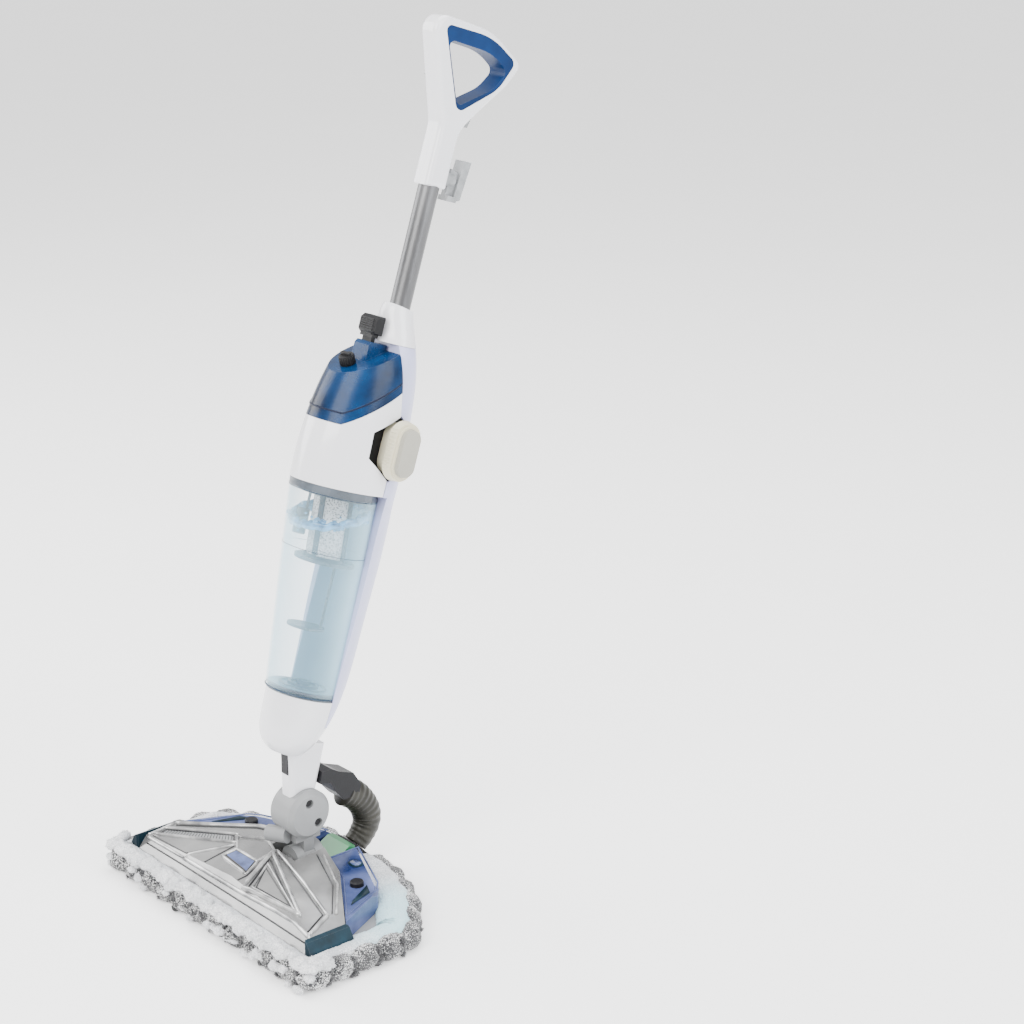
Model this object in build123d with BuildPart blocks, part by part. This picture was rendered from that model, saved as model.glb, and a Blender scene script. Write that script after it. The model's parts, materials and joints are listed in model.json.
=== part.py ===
from build123d import *

import os
from math import cos, radians, sin

os.makedirs("parts", exist_ok=True)

# Driving dimensions, in millimetres and degrees.
# The head stands on z = 0 with its front towards -Y. The swivel barrel lies along X
# above the origin, and the body leans back from it.
lean = 18.5
pivot_height = 102.6
wall = 2.5
gap = 0.4

# Mop pad and head
pad_half_width = 196.0
pad_front = -134.0
pad_side_end = 8.0
pad_rear = 84.0
pad_height = 13.0
fringe_reach = 10.0
fringe_height = 30.0
border_height = 36.0
sole_half_width = 182.0
sole_front = -119.0
sole_bottom = 13.4
sole_top = 22.0
head_rear = 72.0
cover_half_width = 167.0
cover_front = -117.0
cover_bar_y = -105.0
cover_bar_z = 42.0
cover_ridge_z = 46.0
cover_peak_z = 58.0
shoulder_y = -62.0
ridge_x = 80.0
ridge_y = -4.0
well_half_width = 26.0
tray_top = 46.0
tray_corner = (132.0, 16.0)

# Swivel: the head tilts sideways about the lower pin and the body reclines on the barrel
tilt_height = 43.0
lug_radius = 17.0
lug_front = -4.0
lug_back = 10.0
tilt_pin_radius = 4.0
barrel_radius = 29.2
barrel_half_length = 22.0
barrel_cap_length = 9.0
barrel_wall = 3.2
barrel_screw_places = ((-1.5, 15.0), (10.2, -11.5))
hub_radius = 20.0
hub_half_length = 8.0
axle_radius = 5.0
running_fit = 0.05

# Body, measured up its leaning axis: height, half width, front, back
body_stations = [
    (70.0, 24.0, -62.0, -26.0),
    (90.0, 38.0, -75.0, -13.0),
    (130.0, 42.5, -79.0, 5.0),
    (198.0, 45.0, -90.5, 13.5),
    (300.0, 50.0, -110.0, 16.0),
    (369.0, 52.5, -116.0, 14.0),
    (452.0, 52.0, -113.0, 11.0),
    (508.0, 46.0, -101.0, 6.0),
    (545.0, 33.0, -82.0, -4.0),
]
hood_stations = body_stations[:-1] + [
    (545.0, 33.0, -59.0, -4.0),
    (570.0, 23.0, -52.5, -11.0),
    (592.0, 16.5, -50.0, -15.5),
]
cap_top = 139.5
spine_bottom = 109.0
spine_front = -25.0
jar_bottom = 141.0
jar_top = 372.0
housing_bottom = 381.0
housing_back = -32.0
seam_start = 451.0
seam_slope = 0.754
seam_band = 13.0
hood_bottom = 548.5
hood_back = -17.4

# Round jar, wider at the top than at the bottom
jar_low = (141.0, 41.8, -39.6)
jar_high = (381.0, 50.5, -63.2)
jar_wall = 2.0
filter_low = 296.0
filter_high = 371.5

# Dial in the right side
dial_offset = -31.0
dial_height = 436.0
dial_well_width = 35.5
dial_well_height = 37.5
dial_well_floor = 41.0

# Tube and handle
tube_offset = -31.0
tube_radius = 12.0
tube_wall = 1.2
tube_bottom = 549.0
tube_top = 770.0
handle_bottom = 727.0
handle_half_width = 14.0
hook_height = 740.0
gland_height = 198.0

lean_sin = sin(radians(lean))
lean_cos = cos(radians(lean))
up_axis = Vector(0, lean_sin, lean_cos)
back_axis = Vector(0, lean_cos, -lean_sin)
pivot = Vector(0, 0, pivot_height)


def body_point(x, offset, height):
    """A point of the leaning body: sideways, backwards and up its axis."""
    return pivot + Vector(x, 0, 0) + back_axis * offset + up_axis * height


def cross_plane(height):
    """Plane square to the leaning axis. Its y runs backwards."""
    return Plane(origin=body_point(0, 0, height), x_dir=(1, 0, 0), z_dir=up_axis)


def side_plane(x=0.0):
    """Plane seen from the right. Its x runs backwards and its y up the axis."""
    return Plane(origin=body_point(x, 0, 0), x_dir=back_axis, z_dir=(1, 0, 0))


def front_plane(offset):
    """Plane facing forwards. Its y runs up the axis."""
    return Plane(origin=body_point(0, offset, 0), x_dir=(1, 0, 0), z_dir=back_axis * -1)


def seam(offset):
    """Height of the seam between the housing and the upper tank, level in front and then rising."""
    return seam_start + seam_slope * max(0.0, offset + 100.0)


def tank_slope(offset):
    """Height of the upper tank's sloping top."""
    return 536.0 + 0.6 * (offset + 50.0)


def mirrored(points):
    """A closed outline from its right half, front to back."""
    return points + [(-x, y) for x, y in reversed(points)]


def keep(name, builder):
    """Label a finished piece and write it."""
    builder.part.label = name
    export_step(builder.part, f"parts/{name}.step")


def body_form(stations, inset=0.0):
    """Solid of the body's smooth outer shape, or one set inside it."""
    with BuildPart() as form:
        for height, half_width, front, back in stations:
            with BuildSketch(cross_plane(height)):
                with Locations((0, (front + back) / 2)):
                    Ellipse(half_width - inset, (back - front) / 2 - inset)
        loft()
    return form.part


def side_region(points, half_width=80.0):
    """Slab across the whole width with the given side outline."""
    with BuildPart() as slab:
        with BuildSketch(side_plane()):
            with BuildLine():
                Polyline(*points, close=True)
            make_face()
        extrude(amount=half_width, both=True)
    return slab.part


def jar_form(growth, low, high):
    """Round tapered form in line with the jar."""
    span = jar_high[0] - jar_low[0]
    with BuildPart() as form:
        for height in (low, high):
            share = (height - jar_low[0]) / span
            radius = jar_low[1] + share * (jar_high[1] - jar_low[1])
            offset = jar_low[2] + share * (jar_high[2] - jar_low[2])
            with BuildSketch(cross_plane(height)):
                with Locations((0, offset)):
                    Circle(radius + growth)
        loft(ruled=True)
    return form.part


def jar_centre(height):
    """Backward offset of the jar's centre line."""
    share = (height - jar_low[0]) / (jar_high[0] - jar_low[0])
    return jar_low[2] + share * (jar_high[2] - jar_low[2])


def plate(points, low, high):
    """Flat plate with the given plan outline."""
    with BuildPart() as slab:
        with BuildSketch(Plane.XY.offset(low)):
            with BuildLine():
                Polyline(*points, close=True)
            make_face()
        extrude(amount=high - low)
    return slab.part


def upright(x, offset, radius, low, high):
    """Cylinder along the leaning axis."""
    with BuildPart() as rod:
        with BuildSketch(cross_plane(low)):
            with Locations((x, offset)):
                Circle(radius)
        extrude(amount=high - low)
    return rod.part


def cross_rod(offset, height, radius, low_x, high_x):
    """Cylinder along X at a place of the body."""
    with BuildPart() as rod:
        with BuildSketch(side_plane(low_x)):
            with Locations((offset, height)):
                Circle(radius)
        extrude(amount=high_x - low_x)
    return rod.part


def dial_recess(shrink, low_x, high_x):
    """Six-sided block that fills the recess round the dial."""
    across = dial_well_width - shrink
    tall = dial_well_height - shrink
    with BuildPart() as block:
        with BuildSketch(side_plane(low_x)):
            with BuildLine():
                Polyline(
                    (dial_offset, dial_height + tall),
                    (dial_offset - across, dial_height + 14.5),
                    (dial_offset - across, dial_height - 14.5),
                    (dial_offset, dial_height - tall),
                    (dial_offset + across, dial_height - 14.5),
                    (dial_offset + across, dial_height + 14.5),
                    close=True,
                )
            make_face()
        extrude(amount=high_x - low_x)
    return block.part


main_form = body_form(body_stations)
main_inner = body_form(body_stations, wall)
hood_form = body_form(hood_stations)
hood_inner = body_form(hood_stations, wall)
dial_bore = dial_recess(0.0, dial_well_floor - 3.4, 90.0)


# ---- Head ----

def pad_outline(reach):
    return mirrored([
        (pad_half_width + reach, pad_front - reach),
        (pad_half_width + reach, pad_side_end + reach * 0.4),
        (128.0 + reach * 0.5, 60.0 + reach * 0.6),
        (62.0, pad_rear + reach * 0.5),
    ])


def sole_outline(inset):
    return mirrored([
        (sole_half_width - inset, sole_front + inset),
        (sole_half_width - inset, -50.0),
        (tray_corner[0] + 6.0 - inset, tray_corner[1] - inset * 0.5),
        (118.0 - inset, 26.0 - inset),
        (16.0, head_rear - inset),
    ])


def make_mop_pad():
    with BuildPart() as mop_pad:
        add(plate(pad_outline(0.0), 0.0, pad_height))
        fillet(mop_pad.edges().filter_by(Axis.Z), radius=12)
    keep("mop_pad", mop_pad)


def make_pad_fringe():
    with BuildPart() as outer:
        add(plate(pad_outline(fringe_reach), 0.0, fringe_height))
        fillet(outer.edges().filter_by(Axis.Z), radius=16)
    with BuildPart() as inner:
        add(plate(pad_outline(0.3), -1.0, fringe_height + 1.0))
        fillet(inner.edges().filter_by(Axis.Z), radius=12)
    with BuildPart() as pad_fringe:
        add(outer.part)
        add(inner.part, mode=Mode.SUBTRACT)
        with Locations((0, 95.0, 28.0)):
            Box(44.0, 30.0, 30.0, mode=Mode.SUBTRACT)
    keep("pad_fringe", pad_fringe)


def make_pad_border():
    with BuildPart() as outer:
        add(plate(pad_outline(-0.3), pad_height + 0.2, border_height))
        fillet(outer.edges().filter_by(Axis.Z), radius=11)
    with BuildPart() as pad_border:
        add(outer.part)
        add(plate(sole_outline(-0.6), pad_height - 1.0, border_height + 1.0), mode=Mode.SUBTRACT)
        with Locations((0, 80.0, 30.0)):
            Box(44.0, 40.0, 34.0, mode=Mode.SUBTRACT)
    keep("pad_border", pad_border)


def make_sole_plate():
    with BuildPart() as sole_plate:
        add(plate(sole_outline(0.0), sole_bottom, sole_top))
        chamfer(sole_plate.faces().sort_by(Axis.Z)[-1].edges(), length=1.5)
    keep("sole_plate", sole_plate)


def cover_outline(inset):
    return [
        (-cover_half_width + inset, cover_front + inset),
        (cover_half_width - inset, cover_front + inset),
        (cover_half_width - inset, shoulder_y - inset),
        (ridge_x, ridge_y - inset * 1.2),
        (well_half_width + inset, 14.0 - inset),
        (well_half_width + inset, -28.0 - inset),
        (-well_half_width - inset, -28.0 - inset),
        (-well_half_width - inset, 14.0 - inset),
        (-ridge_x, ridge_y - inset * 1.2),
        (-cover_half_width + inset, shoulder_y - inset),
    ]


def cover_form(inset, low):
    """Faceted cover: a steep front bar and two panels that rise to the middle."""
    front_low = Vector(0, cover_front, 27.0)
    front_high = Vector(0, cover_bar_y, cover_bar_z)
    bar_dir = (front_high - front_low).normalized()
    bar_normal = Vector(1, 0, 0).cross(bar_dir)
    with BuildPart() as form:
        add(plate(cover_outline(inset), low, cover_peak_z + 6.0))
        bar_plane = Plane(origin=front_low - bar_normal * inset, z_dir=bar_normal)
        split(bisect_by=bar_plane, keep=Keep.BOTTOM)
        for side in (-1, 1):
            corner = Vector(side * cover_half_width, cover_bar_y, cover_bar_z)
            shoulder = Vector(side * cover_half_width, shoulder_y, cover_ridge_z)
            peak = Vector(0, -20.0, cover_peak_z)
            normal = (shoulder - corner).cross(peak - corner).normalized()
            if normal.Z < 0:
                normal = normal * -1
            panel_plane = Plane(origin=corner - normal * inset, z_dir=normal)
            split(bisect_by=panel_plane, keep=Keep.BOTTOM)
    return form.part


def make_front_cover():
    with BuildPart() as front_cover:
        add(cover_form(0.0, sole_top + 0.1))
        add(cover_form(wall, sole_top - 1.0), mode=Mode.SUBTRACT)
    keep("front_cover", front_cover)


def tray_outline(inset, side):
    points = [
        (well_half_width + gap + inset, 15.2 + inset),
        (ridge_x, ridge_y + 0.8 + inset),
        (cover_half_width - 3.0 - inset * 1.5, shoulder_y + 3.5 + inset * 2.0),
        (tray_corner[0] - inset, tray_corner[1] - 6.0 - inset * 0.4),
        (tray_corner[0] - 12.0 - inset, tray_corner[1] + 5.0 - inset),
        (well_half_width + gap + inset, head_rear - 8.0 - inset),
    ]
    return [(side * x, y) for x, y in points]


def make_rear_trays():
    for name, side in (("rear_tray_right", 1), ("rear_tray_left", -1)):
        with BuildPart() as rear_tray:
            add(plate(tray_outline(0.0, side), sole_top + 0.1, tray_top))
            top_edges = rear_tray.faces().sort_by(Axis.Z)[-1].edges()
            chamfer(top_edges.sort_by(Axis.Y)[-3:], length=5)
            add(plate(tray_outline(wall, side), sole_top - 1.0, tray_top - 7.0), mode=Mode.SUBTRACT)
            with Locations((side * 104.0, 2.0, tray_top)):
                Cylinder(radius=8.2, height=9.0, mode=Mode.SUBTRACT)
        keep(name, rear_tray)


def make_tray_plugs():
    with BuildPart() as tray_plugs:
        for side in (-1, 1):
            with Locations((side * 104.0, 2.0, tray_top + 0.8)):
                Cylinder(radius=8.0, height=9.6)
        chamfer(tray_plugs.faces().sort_by(Axis.Z)[-2:].edges(), length=1)
    keep("tray_plugs", tray_plugs)


def make_end_clips():
    outer_x = sole_half_width + 0.2
    inner_x = cover_half_width + gap
    with BuildPart() as end_clips:
        for side in (-1, 1):
            with BuildSketch(Plane.XZ.offset(60.0)):
                with BuildLine():
                    Polyline(
                        (side * inner_x, sole_top + 0.1),
                        (side * (sole_half_width - 1.6), sole_top + 0.1),
                        (side * outer_x, sole_top + 3.0),
                        (side * (outer_x - 3.0), 34.0),
                        (side * (inner_x + 5.0), 44.0),
                        (side * inner_x, cover_ridge_z),
                        close=True,
                    )
                make_face()
            extrude(amount=58.0)
        chamfer(end_clips.edges().filter_by(Axis.Z), length=2)
    keep("end_clips", end_clips)


def make_steam_manifold():
    with BuildPart() as steam_manifold:
        with Locations((0, -88.0, sole_top + 5.1)):
            Box(250.0, 16.0, 10.0)
        with Locations((0, -58.0, sole_top + 5.1)):
            Box(14.0, 44.0, 10.0)
        fillet(steam_manifold.edges().filter_by(Axis.Z), radius=3)
    keep("steam_manifold", steam_manifold)


def ear(front, back):
    """Rounded ear of the swivel mount, square to the tilt pin."""
    with BuildPart() as side_ear:
        with BuildSketch(Plane.XZ.offset(-back)):
            with Locations((0, tilt_height)):
                Circle(lug_radius)
            with Locations((0, (tilt_height + sole_top) / 2)):
                Rectangle(2 * lug_radius, tilt_height - sole_top - 0.2)
            with Locations((0, tilt_height)):
                Circle(tilt_pin_radius + 0.02, mode=Mode.SUBTRACT)
        extrude(amount=back - front)
    return side_ear.part


def make_swivel_mount():
    with BuildPart() as swivel_mount:
        add(ear(lug_front - 11.3, lug_front - 0.3))
        add(ear(lug_back + 0.3, lug_back + 11.3))
        with Locations((0, 3.0, sole_top + 1.6)):
            Box(46.0, 52.0, 3.0)
    keep("swivel_mount", swivel_mount)


def make_tilt_pin():
    with BuildPart() as tilt_pin:
        with BuildSketch(Plane.XZ.offset(-(lug_back + 12.0))):
            with Locations((0, tilt_height)):
                Circle(tilt_pin_radius)
        extrude(amount=lug_back - lug_front + 24.0)
        with BuildSketch(Plane.XZ.offset(-(lug_front - 12.0))):
            with Locations((0, tilt_height)):
                Circle(6.5)
                RegularPolygon(2.6, 6, mode=Mode.SUBTRACT)
        extrude(amount=3.0)
    keep("tilt_pin", tilt_pin)


def make_hose_socket():
    """Mouth at the back of the head that the hose pushes into."""
    with BuildPart() as hose_socket:
        with BuildSketch(Plane.YZ.offset(-17.0)):
            with BuildLine():
                Polyline((64.6, 22.1), (85.9, 22.1), (86.9, 22.2), (66.8, 43.4), (64.6, 43.4),
                         close=True)
            make_face()
        extrude(amount=34.0)
        fillet(hose_socket.edges().filter_by(Axis.X).sort_by(Axis.Z)[-2:-1], radius=2)
    keep("hose_socket", hose_socket)


def make_pedal():
    with BuildPart() as pedal:
        with BuildSketch(Plane.YZ.offset(-21.0)):
            with BuildLine():
                Polyline(
                    (31.0, 29.0), (31.0, 33.0), (36.0, 36.0), (54.0, 46.0), (62.0, 45.0),
                    (62.0, 41.0), (54.0, 41.5), (37.0, 32.0), (35.0, 29.0), close=True,
                )
            make_face()
        extrude(amount=42.0)
        fillet(pedal.edges().filter_by(Axis.X).sort_by(Axis.Z)[-2:], radius=1.5)
        with Locations(Location((0, 33.0, 31.0), (0, 90, 0))):
            Cylinder(radius=1.55, height=60.0, mode=Mode.SUBTRACT)
    keep("pedal", pedal)


def make_pedal_pin():
    with BuildPart() as pedal_pin:
        with Locations(Location((0, 33.0, 31.0), (0, 90, 0))):
            Cylinder(radius=1.5, height=49.0)
        for side in (-1, 1):
            with Locations((side * 23.2, 33.0, 27.1)):
                Box(2.6, 6.0, 10.0)
    keep("pedal_pin", pedal_pin)


make_mop_pad()
make_pad_fringe()
make_pad_border()
make_sole_plate()
make_front_cover()
make_rear_trays()
make_tray_plugs()
make_end_clips()
make_steam_manifold()
make_swivel_mount()
make_tilt_pin()
make_hose_socket()
make_pedal()
make_pedal_pin()


# ---- Swivel ----

def barrel_rod(radius, low_x, high_x):
    return cross_rod(0.0, 0.0, radius, low_x, high_x)


def slot_block(half_width, growth):
    """Room for the neck's tongue over the whole recline."""
    reach = barrel_radius + 12.0
    with BuildPart() as block:
        with BuildSketch(Plane.YZ.offset(-half_width)):
            with BuildLine():
                Polyline(
                    (-9.0 - growth, pivot_height + 8.0),
                    (-14.5 - growth, pivot_height + reach),
                    (reach, pivot_height + reach),
                    (reach, pivot_height - 4.0 - growth),
                    (8.0, pivot_height - 4.0 - growth),
                    close=True,
                )
            make_face()
        extrude(amount=2 * half_width)
    return block.part


def make_barrel_housing():
    inner = barrel_half_length - barrel_cap_length
    with BuildPart() as barrel_housing:
        add(barrel_rod(barrel_radius, -inner, inner))
        add(barrel_rod(barrel_radius - barrel_wall, -inner - 1.0, inner + 1.0), mode=Mode.SUBTRACT)
        add(slot_block(hub_half_length + 0.8, 0.0), mode=Mode.SUBTRACT)
    keep("barrel_housing", barrel_housing)


def barrel_cap(side):
    """End cap of the barrel: a dished shell with a boss for the axle and two for its screws."""
    inner = barrel_half_length - barrel_cap_length
    low_x, high_x = sorted((side * (inner + 0.05), side * barrel_half_length))
    hollow_x = sorted((side * (inner - 1.0), side * (barrel_half_length - 4.0)))
    boss_x = sorted((side * (inner + 0.05), side * 20.0))
    bore_x = sorted((side * (inner - 1.0), side * 18.5))
    with BuildPart() as cap:
        add(barrel_rod(barrel_radius, low_x, high_x))
        chamfer(cap.faces().sort_by(Axis.X)[-1 if side > 0 else 0].edges(), length=5)
        add(barrel_rod(barrel_radius - barrel_wall, *hollow_x), mode=Mode.SUBTRACT)
        add(barrel_rod(axle_radius + 2.6, *boss_x))
        for y, z in barrel_screw_places:
            with Locations(Location((side * 17.0, y, pivot_height + z), (0, 90, 0))):
                Cylinder(radius=7.2, height=7.8)
            with Locations(Location((side * 20.0, y, pivot_height + z), (0, 90, 0))):
                Cylinder(radius=5.4, height=6.0, mode=Mode.SUBTRACT)
            with Locations(Location((side * 15.0, y, pivot_height + z), (0, 90, 0))):
                Cylinder(radius=1.9, height=12.0, mode=Mode.SUBTRACT)
        add(barrel_rod(axle_radius, *bore_x), mode=Mode.SUBTRACT)
    return cap.part


def make_barrel_caps():
    with BuildPart() as barrel_caps:
        for side in (-1, 1):
            add(barrel_cap(side))
    keep("barrel_caps", barrel_caps)


def make_barrel_screws():
    with BuildPart() as barrel_screws:
        for side in (-1, 1):
            for y, z in barrel_screw_places:
                with Locations(Location((side * 18.5, y, pivot_height + z), (0, 90, 0))):
                    Cylinder(radius=3.6, height=2.6)
                with Locations(Location((side * 15.4, y, pivot_height + z), (0, 90, 0))):
                    Cylinder(radius=1.85, height=4.2)
    keep("barrel_screws", barrel_screws)


def make_recline_axle():
    with BuildPart() as recline_axle:
        add(barrel_rod(axle_radius, -18.4, 18.4))
        add(barrel_rod(axle_radius - 2.0, -19.0, 19.0), mode=Mode.SUBTRACT)
    keep("recline_axle", recline_axle)


def make_swivel_lug():
    """Link from the tilt pin up to the barrel, with its saddle under the barrel."""
    with BuildPart() as swivel_lug:
        with BuildSketch(Plane.XZ.offset(-lug_back)):
            with Locations((0, tilt_height)):
                Circle(lug_radius - 1.0)
            with Locations((0, tilt_height + 15.0)):
                Rectangle(24.0, 32.0)
            with Locations((0, tilt_height)):
                Circle(tilt_pin_radius + running_fit, mode=Mode.SUBTRACT)
        extrude(amount=lug_back - lug_front)
        with Locations((0, 2.0, pivot_height - barrel_radius - 1.0)):
            Box(24.0, 34.0, 8.0)
        add(barrel_rod(barrel_radius + 0.02, -30.0, 30.0), mode=Mode.SUBTRACT)
    keep("swivel_lug", swivel_lug)


def make_steam_elbow():
    """Short pipe under the front of the barrel that carries steam to the head."""
    start = Vector(4.0, -20.5, pivot_height - 24.6)
    with BuildPart() as bent_pipe:
        with BuildSketch(Plane(origin=start, z_dir=(-1, -0.4, -0.1))):
            Circle(9.6)
        extrude(amount=27.0)
        with BuildSketch(Plane(origin=start, z_dir=(-1, -0.4, -0.1)).offset(6.0)):
            Circle(7.6)
        extrude(amount=30.0, mode=Mode.SUBTRACT)
        add(barrel_rod(barrel_radius + 0.05, -40.0, 40.0), mode=Mode.SUBTRACT)
        with Locations((0, 2.0, pivot_height - barrel_radius - 1.0)):
            Box(24.4, 34.4, 8.4, mode=Mode.SUBTRACT)
    with BuildPart() as steam_elbow:
        add(bent_pipe.part.solids().sort_by(SortBy.VOLUME)[-1])
    keep("steam_elbow", steam_elbow)


def make_neck():
    with BuildPart() as outer:
        for height, half_width, front, back in (
            (16.0, 11.0, -25.0, 9.0), (50.0, 11.5, -36.0, 7.0), (84.0, 13.0, -48.0, 4.0),
        ):
            with BuildSketch(cross_plane(height)):
                with Locations((0, (front + back) / 2)):
                    RectangleRounded(2 * half_width, back - front, 6.0)
        loft(ruled=True)
    with BuildPart() as neck:
        add(outer.part)
        add(barrel_rod(barrel_radius + gap, -40.0, 40.0), mode=Mode.SUBTRACT)
        with BuildSketch(cross_plane(0.0)):
            with Locations((0, -1.0)):
                Rectangle(2 * hub_half_length - 0.6, 16.0)
        extrude(amount=34.0)
        add(barrel_rod(hub_radius, -hub_half_length, hub_half_length))
        add(barrel_rod(axle_radius + running_fit, -20.0, 20.0), mode=Mode.SUBTRACT)
        add(upright(0, -2.0, 4.0, 4.0, 60.0), mode=Mode.SUBTRACT)
        for low, centre, depth in ((52.0, -13.0, 18.0), (66.0, -20.0, 30.0)):
            with BuildSketch(cross_plane(low)):
                with Locations((0, centre)):
                    RectangleRounded(15.0, depth, 4.0)
            extrude(amount=92.0 - low, mode=Mode.SUBTRACT)
        inset_box = side_region([(-60.0, 42.0), (-60.0, 69.5), (-38.5, 69.5), (-32.0, 42.0)], 6.0)
        add(inset_box, mode=Mode.SUBTRACT)
    keep("neck", neck)


def make_neck_inset():
    with BuildPart() as neck_inset:
        add(side_region([(-35.0, 42.2), (-43.6, 69.3), (-38.7, 69.3), (-32.2, 42.2)], 5.8))
    keep("neck_inset", neck_inset)


def make_duct_elbow():
    """Dark square elbow behind the neck that the suction hose hangs from."""
    with BuildPart() as duct_elbow:
        with BuildSketch(Plane.YZ.offset(-15.0)):
            with BuildLine():
                Polyline(
                    (22.8, 148.0), (19.2, 134.0), (34.0, 131.0), (41.0, 117.0), (52.0, 104.0),
                    (74.0, 104.0), (78.0, 116.0), (67.0, 134.0), (46.0, 142.0), (36.0, 148.0),
                    close=True,
                )
            make_face()
        extrude(amount=30.0)
        with Locations((0, 63.0, 105.0)):
            Box(23.0, 16.0, 36.0, mode=Mode.SUBTRACT)
    keep("duct_elbow", duct_elbow)


def hose_path():
    with BuildLine() as line:
        FilletPolyline(
            (0, 64.0, 103.6), (0, 78.0, 93.0), (0, 93.0, 78.0), (0, 98.0, 59.0), (0, 89.0, 44.0),
            (0, 77.0, 33.0), radius=(40.0, 28.0, 22.0, 40.0),
        )
    return line.wire()


def make_suction_hose():
    path = hose_path()
    with BuildPart() as suction_hose:
        with BuildSketch(Plane(origin=path @ 0, z_dir=path % 0)):
            Circle(12.5)
            Circle(10.5, mode=Mode.SUBTRACT)
        sweep(path=path)
        with Locations((0, 50.0, 113.0)):
            Box(60.0, 60.0, 18.2, mode=Mode.SUBTRACT)
    keep("suction_hose", suction_hose)


make_barrel_housing()
make_barrel_caps()
make_barrel_screws()
make_recline_axle()
make_swivel_lug()
make_steam_elbow()
make_neck()
make_neck_inset()


# ---- Body ----

def neck_room(growth):
    with BuildPart() as room:
        for height, half_width, front, back in (
            (60.0, 12.0, -40.0, 7.0), (90.0, 13.3, -51.0, 4.0),
        ):
            with BuildSketch(cross_plane(height)):
                with Locations((0, (front + back) / 2)):
                    Rectangle(2 * half_width + 2 * growth, back - front + 2 * growth)
        loft(ruled=True)
    return room.part


def make_lower_cap():
    region = side_region([
        (-140.0, 60.0), (60.0, 60.0), (60.0, spine_bottom - gap),
        (spine_front - gap, spine_bottom - gap), (spine_front - gap, cap_top), (-140.0, cap_top),
    ])
    room = side_region([
        (-140.0, 86.5), (60.0, 86.5), (60.0, spine_bottom - gap - wall),
        (spine_front - gap - wall, spine_bottom - gap - wall),
        (spine_front - gap - wall, cap_top - 3.0), (-140.0, cap_top - 3.0),
    ])
    with BuildPart() as hollow:
        add(main_inner)
        add(room, mode=Mode.INTERSECT)
    with BuildPart() as lower_cap:
        add(main_form)
        add(region, mode=Mode.INTERSECT)
        add(hollow.part, mode=Mode.SUBTRACT)
        add(neck_room(0.3), mode=Mode.SUBTRACT)
    keep("lower_cap", lower_cap)


def make_boiler():
    with BuildPart() as boiler:
        add(upright(0, -50.0, 20.0, 96.0, 134.0))
        add(upright(0, -50.0, 16.0, 99.0, 131.0), mode=Mode.SUBTRACT)
        add(upright(0, -50.0, 3.0, 130.0, 135.0), mode=Mode.SUBTRACT)
    keep("boiler", boiler)
    with BuildPart() as heater_element:
        add(upright(0, -50.0, 13.0, 104.0, 112.0))
        add(upright(0, -50.0, 8.0, 103.0, 113.0), mode=Mode.SUBTRACT)
    keep("heater_element", heater_element)


def make_steam_pipe():
    """Pipe from the boiler through the neck to the hollow hub."""
    start = body_point(0, -32.0, 95.8)
    bend = body_point(0, -31.0, 86.0)
    low_bend = body_point(0, -10.0, 68.0)
    end = body_point(0, -9.0, 58.0)
    with BuildPart() as steam_pipe:
        with BuildLine() as line:
            FilletPolyline(start, bend, low_bend, end, radius=7.0)
        with BuildSketch(Plane(origin=start, z_dir=line.wire() % 0)):
            Circle(2.8)
            Circle(1.6, mode=Mode.SUBTRACT)
        sweep(path=line.wire())
    keep("steam_pipe", steam_pipe)


def make_back_shell():
    region = side_region([
        (spine_front, spine_bottom), (spine_front, housing_bottom - 0.6),
        (housing_back, housing_bottom - 0.6), (housing_back, 471.0), (-42.5, 538.0),
        (-42.5, hood_bottom - gap), (hood_back + gap, hood_bottom - gap), (hood_back + gap, 586.0),
        (60.0, 586.0), (60.0, spine_bottom),
    ])
    room = side_region([
        (spine_front + wall, spine_bottom + wall), (spine_front + wall, housing_bottom + 3.0),
        (housing_back - 5.0, housing_bottom + 3.0), (housing_back - 5.0, 466.0),
        (housing_back + wall, 468.0), (-39.5, 536.0), (-39.5, hood_bottom - gap - wall),
        (hood_back + gap + wall, hood_bottom - gap - wall), (hood_back + gap + wall, 583.5),
        (60.0, 583.5), (60.0, spine_bottom + wall),
    ])
    with BuildPart() as hollow:
        add(hood_inner)
        add(room, mode=Mode.INTERSECT)
        add(jar_form(0.6 + wall, jar_bottom - 6.0, jar_high[0] + 2.0), mode=Mode.SUBTRACT)
    with BuildPart() as back_shell:
        add(hood_form)
        add(region, mode=Mode.INTERSECT)
        add(jar_form(0.6, jar_bottom - 6.0, jar_high[0] + 1.0), mode=Mode.SUBTRACT)
        add(hollow.part, mode=Mode.SUBTRACT)
        add(dial_bore, mode=Mode.SUBTRACT)
        with BuildSketch(Plane(origin=body_point(0, 6.0, gland_height), z_dir=back_axis)):
            Circle(4.6)
        extrude(amount=12.0, mode=Mode.SUBTRACT)
    keep("back_shell", back_shell)


def make_collar():
    region = side_region([
        (-80.0, hood_bottom), (hood_back, hood_bottom), (hood_back, 586.0), (-26.0, 588.0),
        (-80.0, 598.0),
    ])
    with BuildPart() as collar:
        add(hood_form)
        add(region, mode=Mode.INTERSECT)
        add(upright(0, tube_offset, tube_radius, 545.0, 620.0), mode=Mode.SUBTRACT)
    keep("collar", collar)


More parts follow.
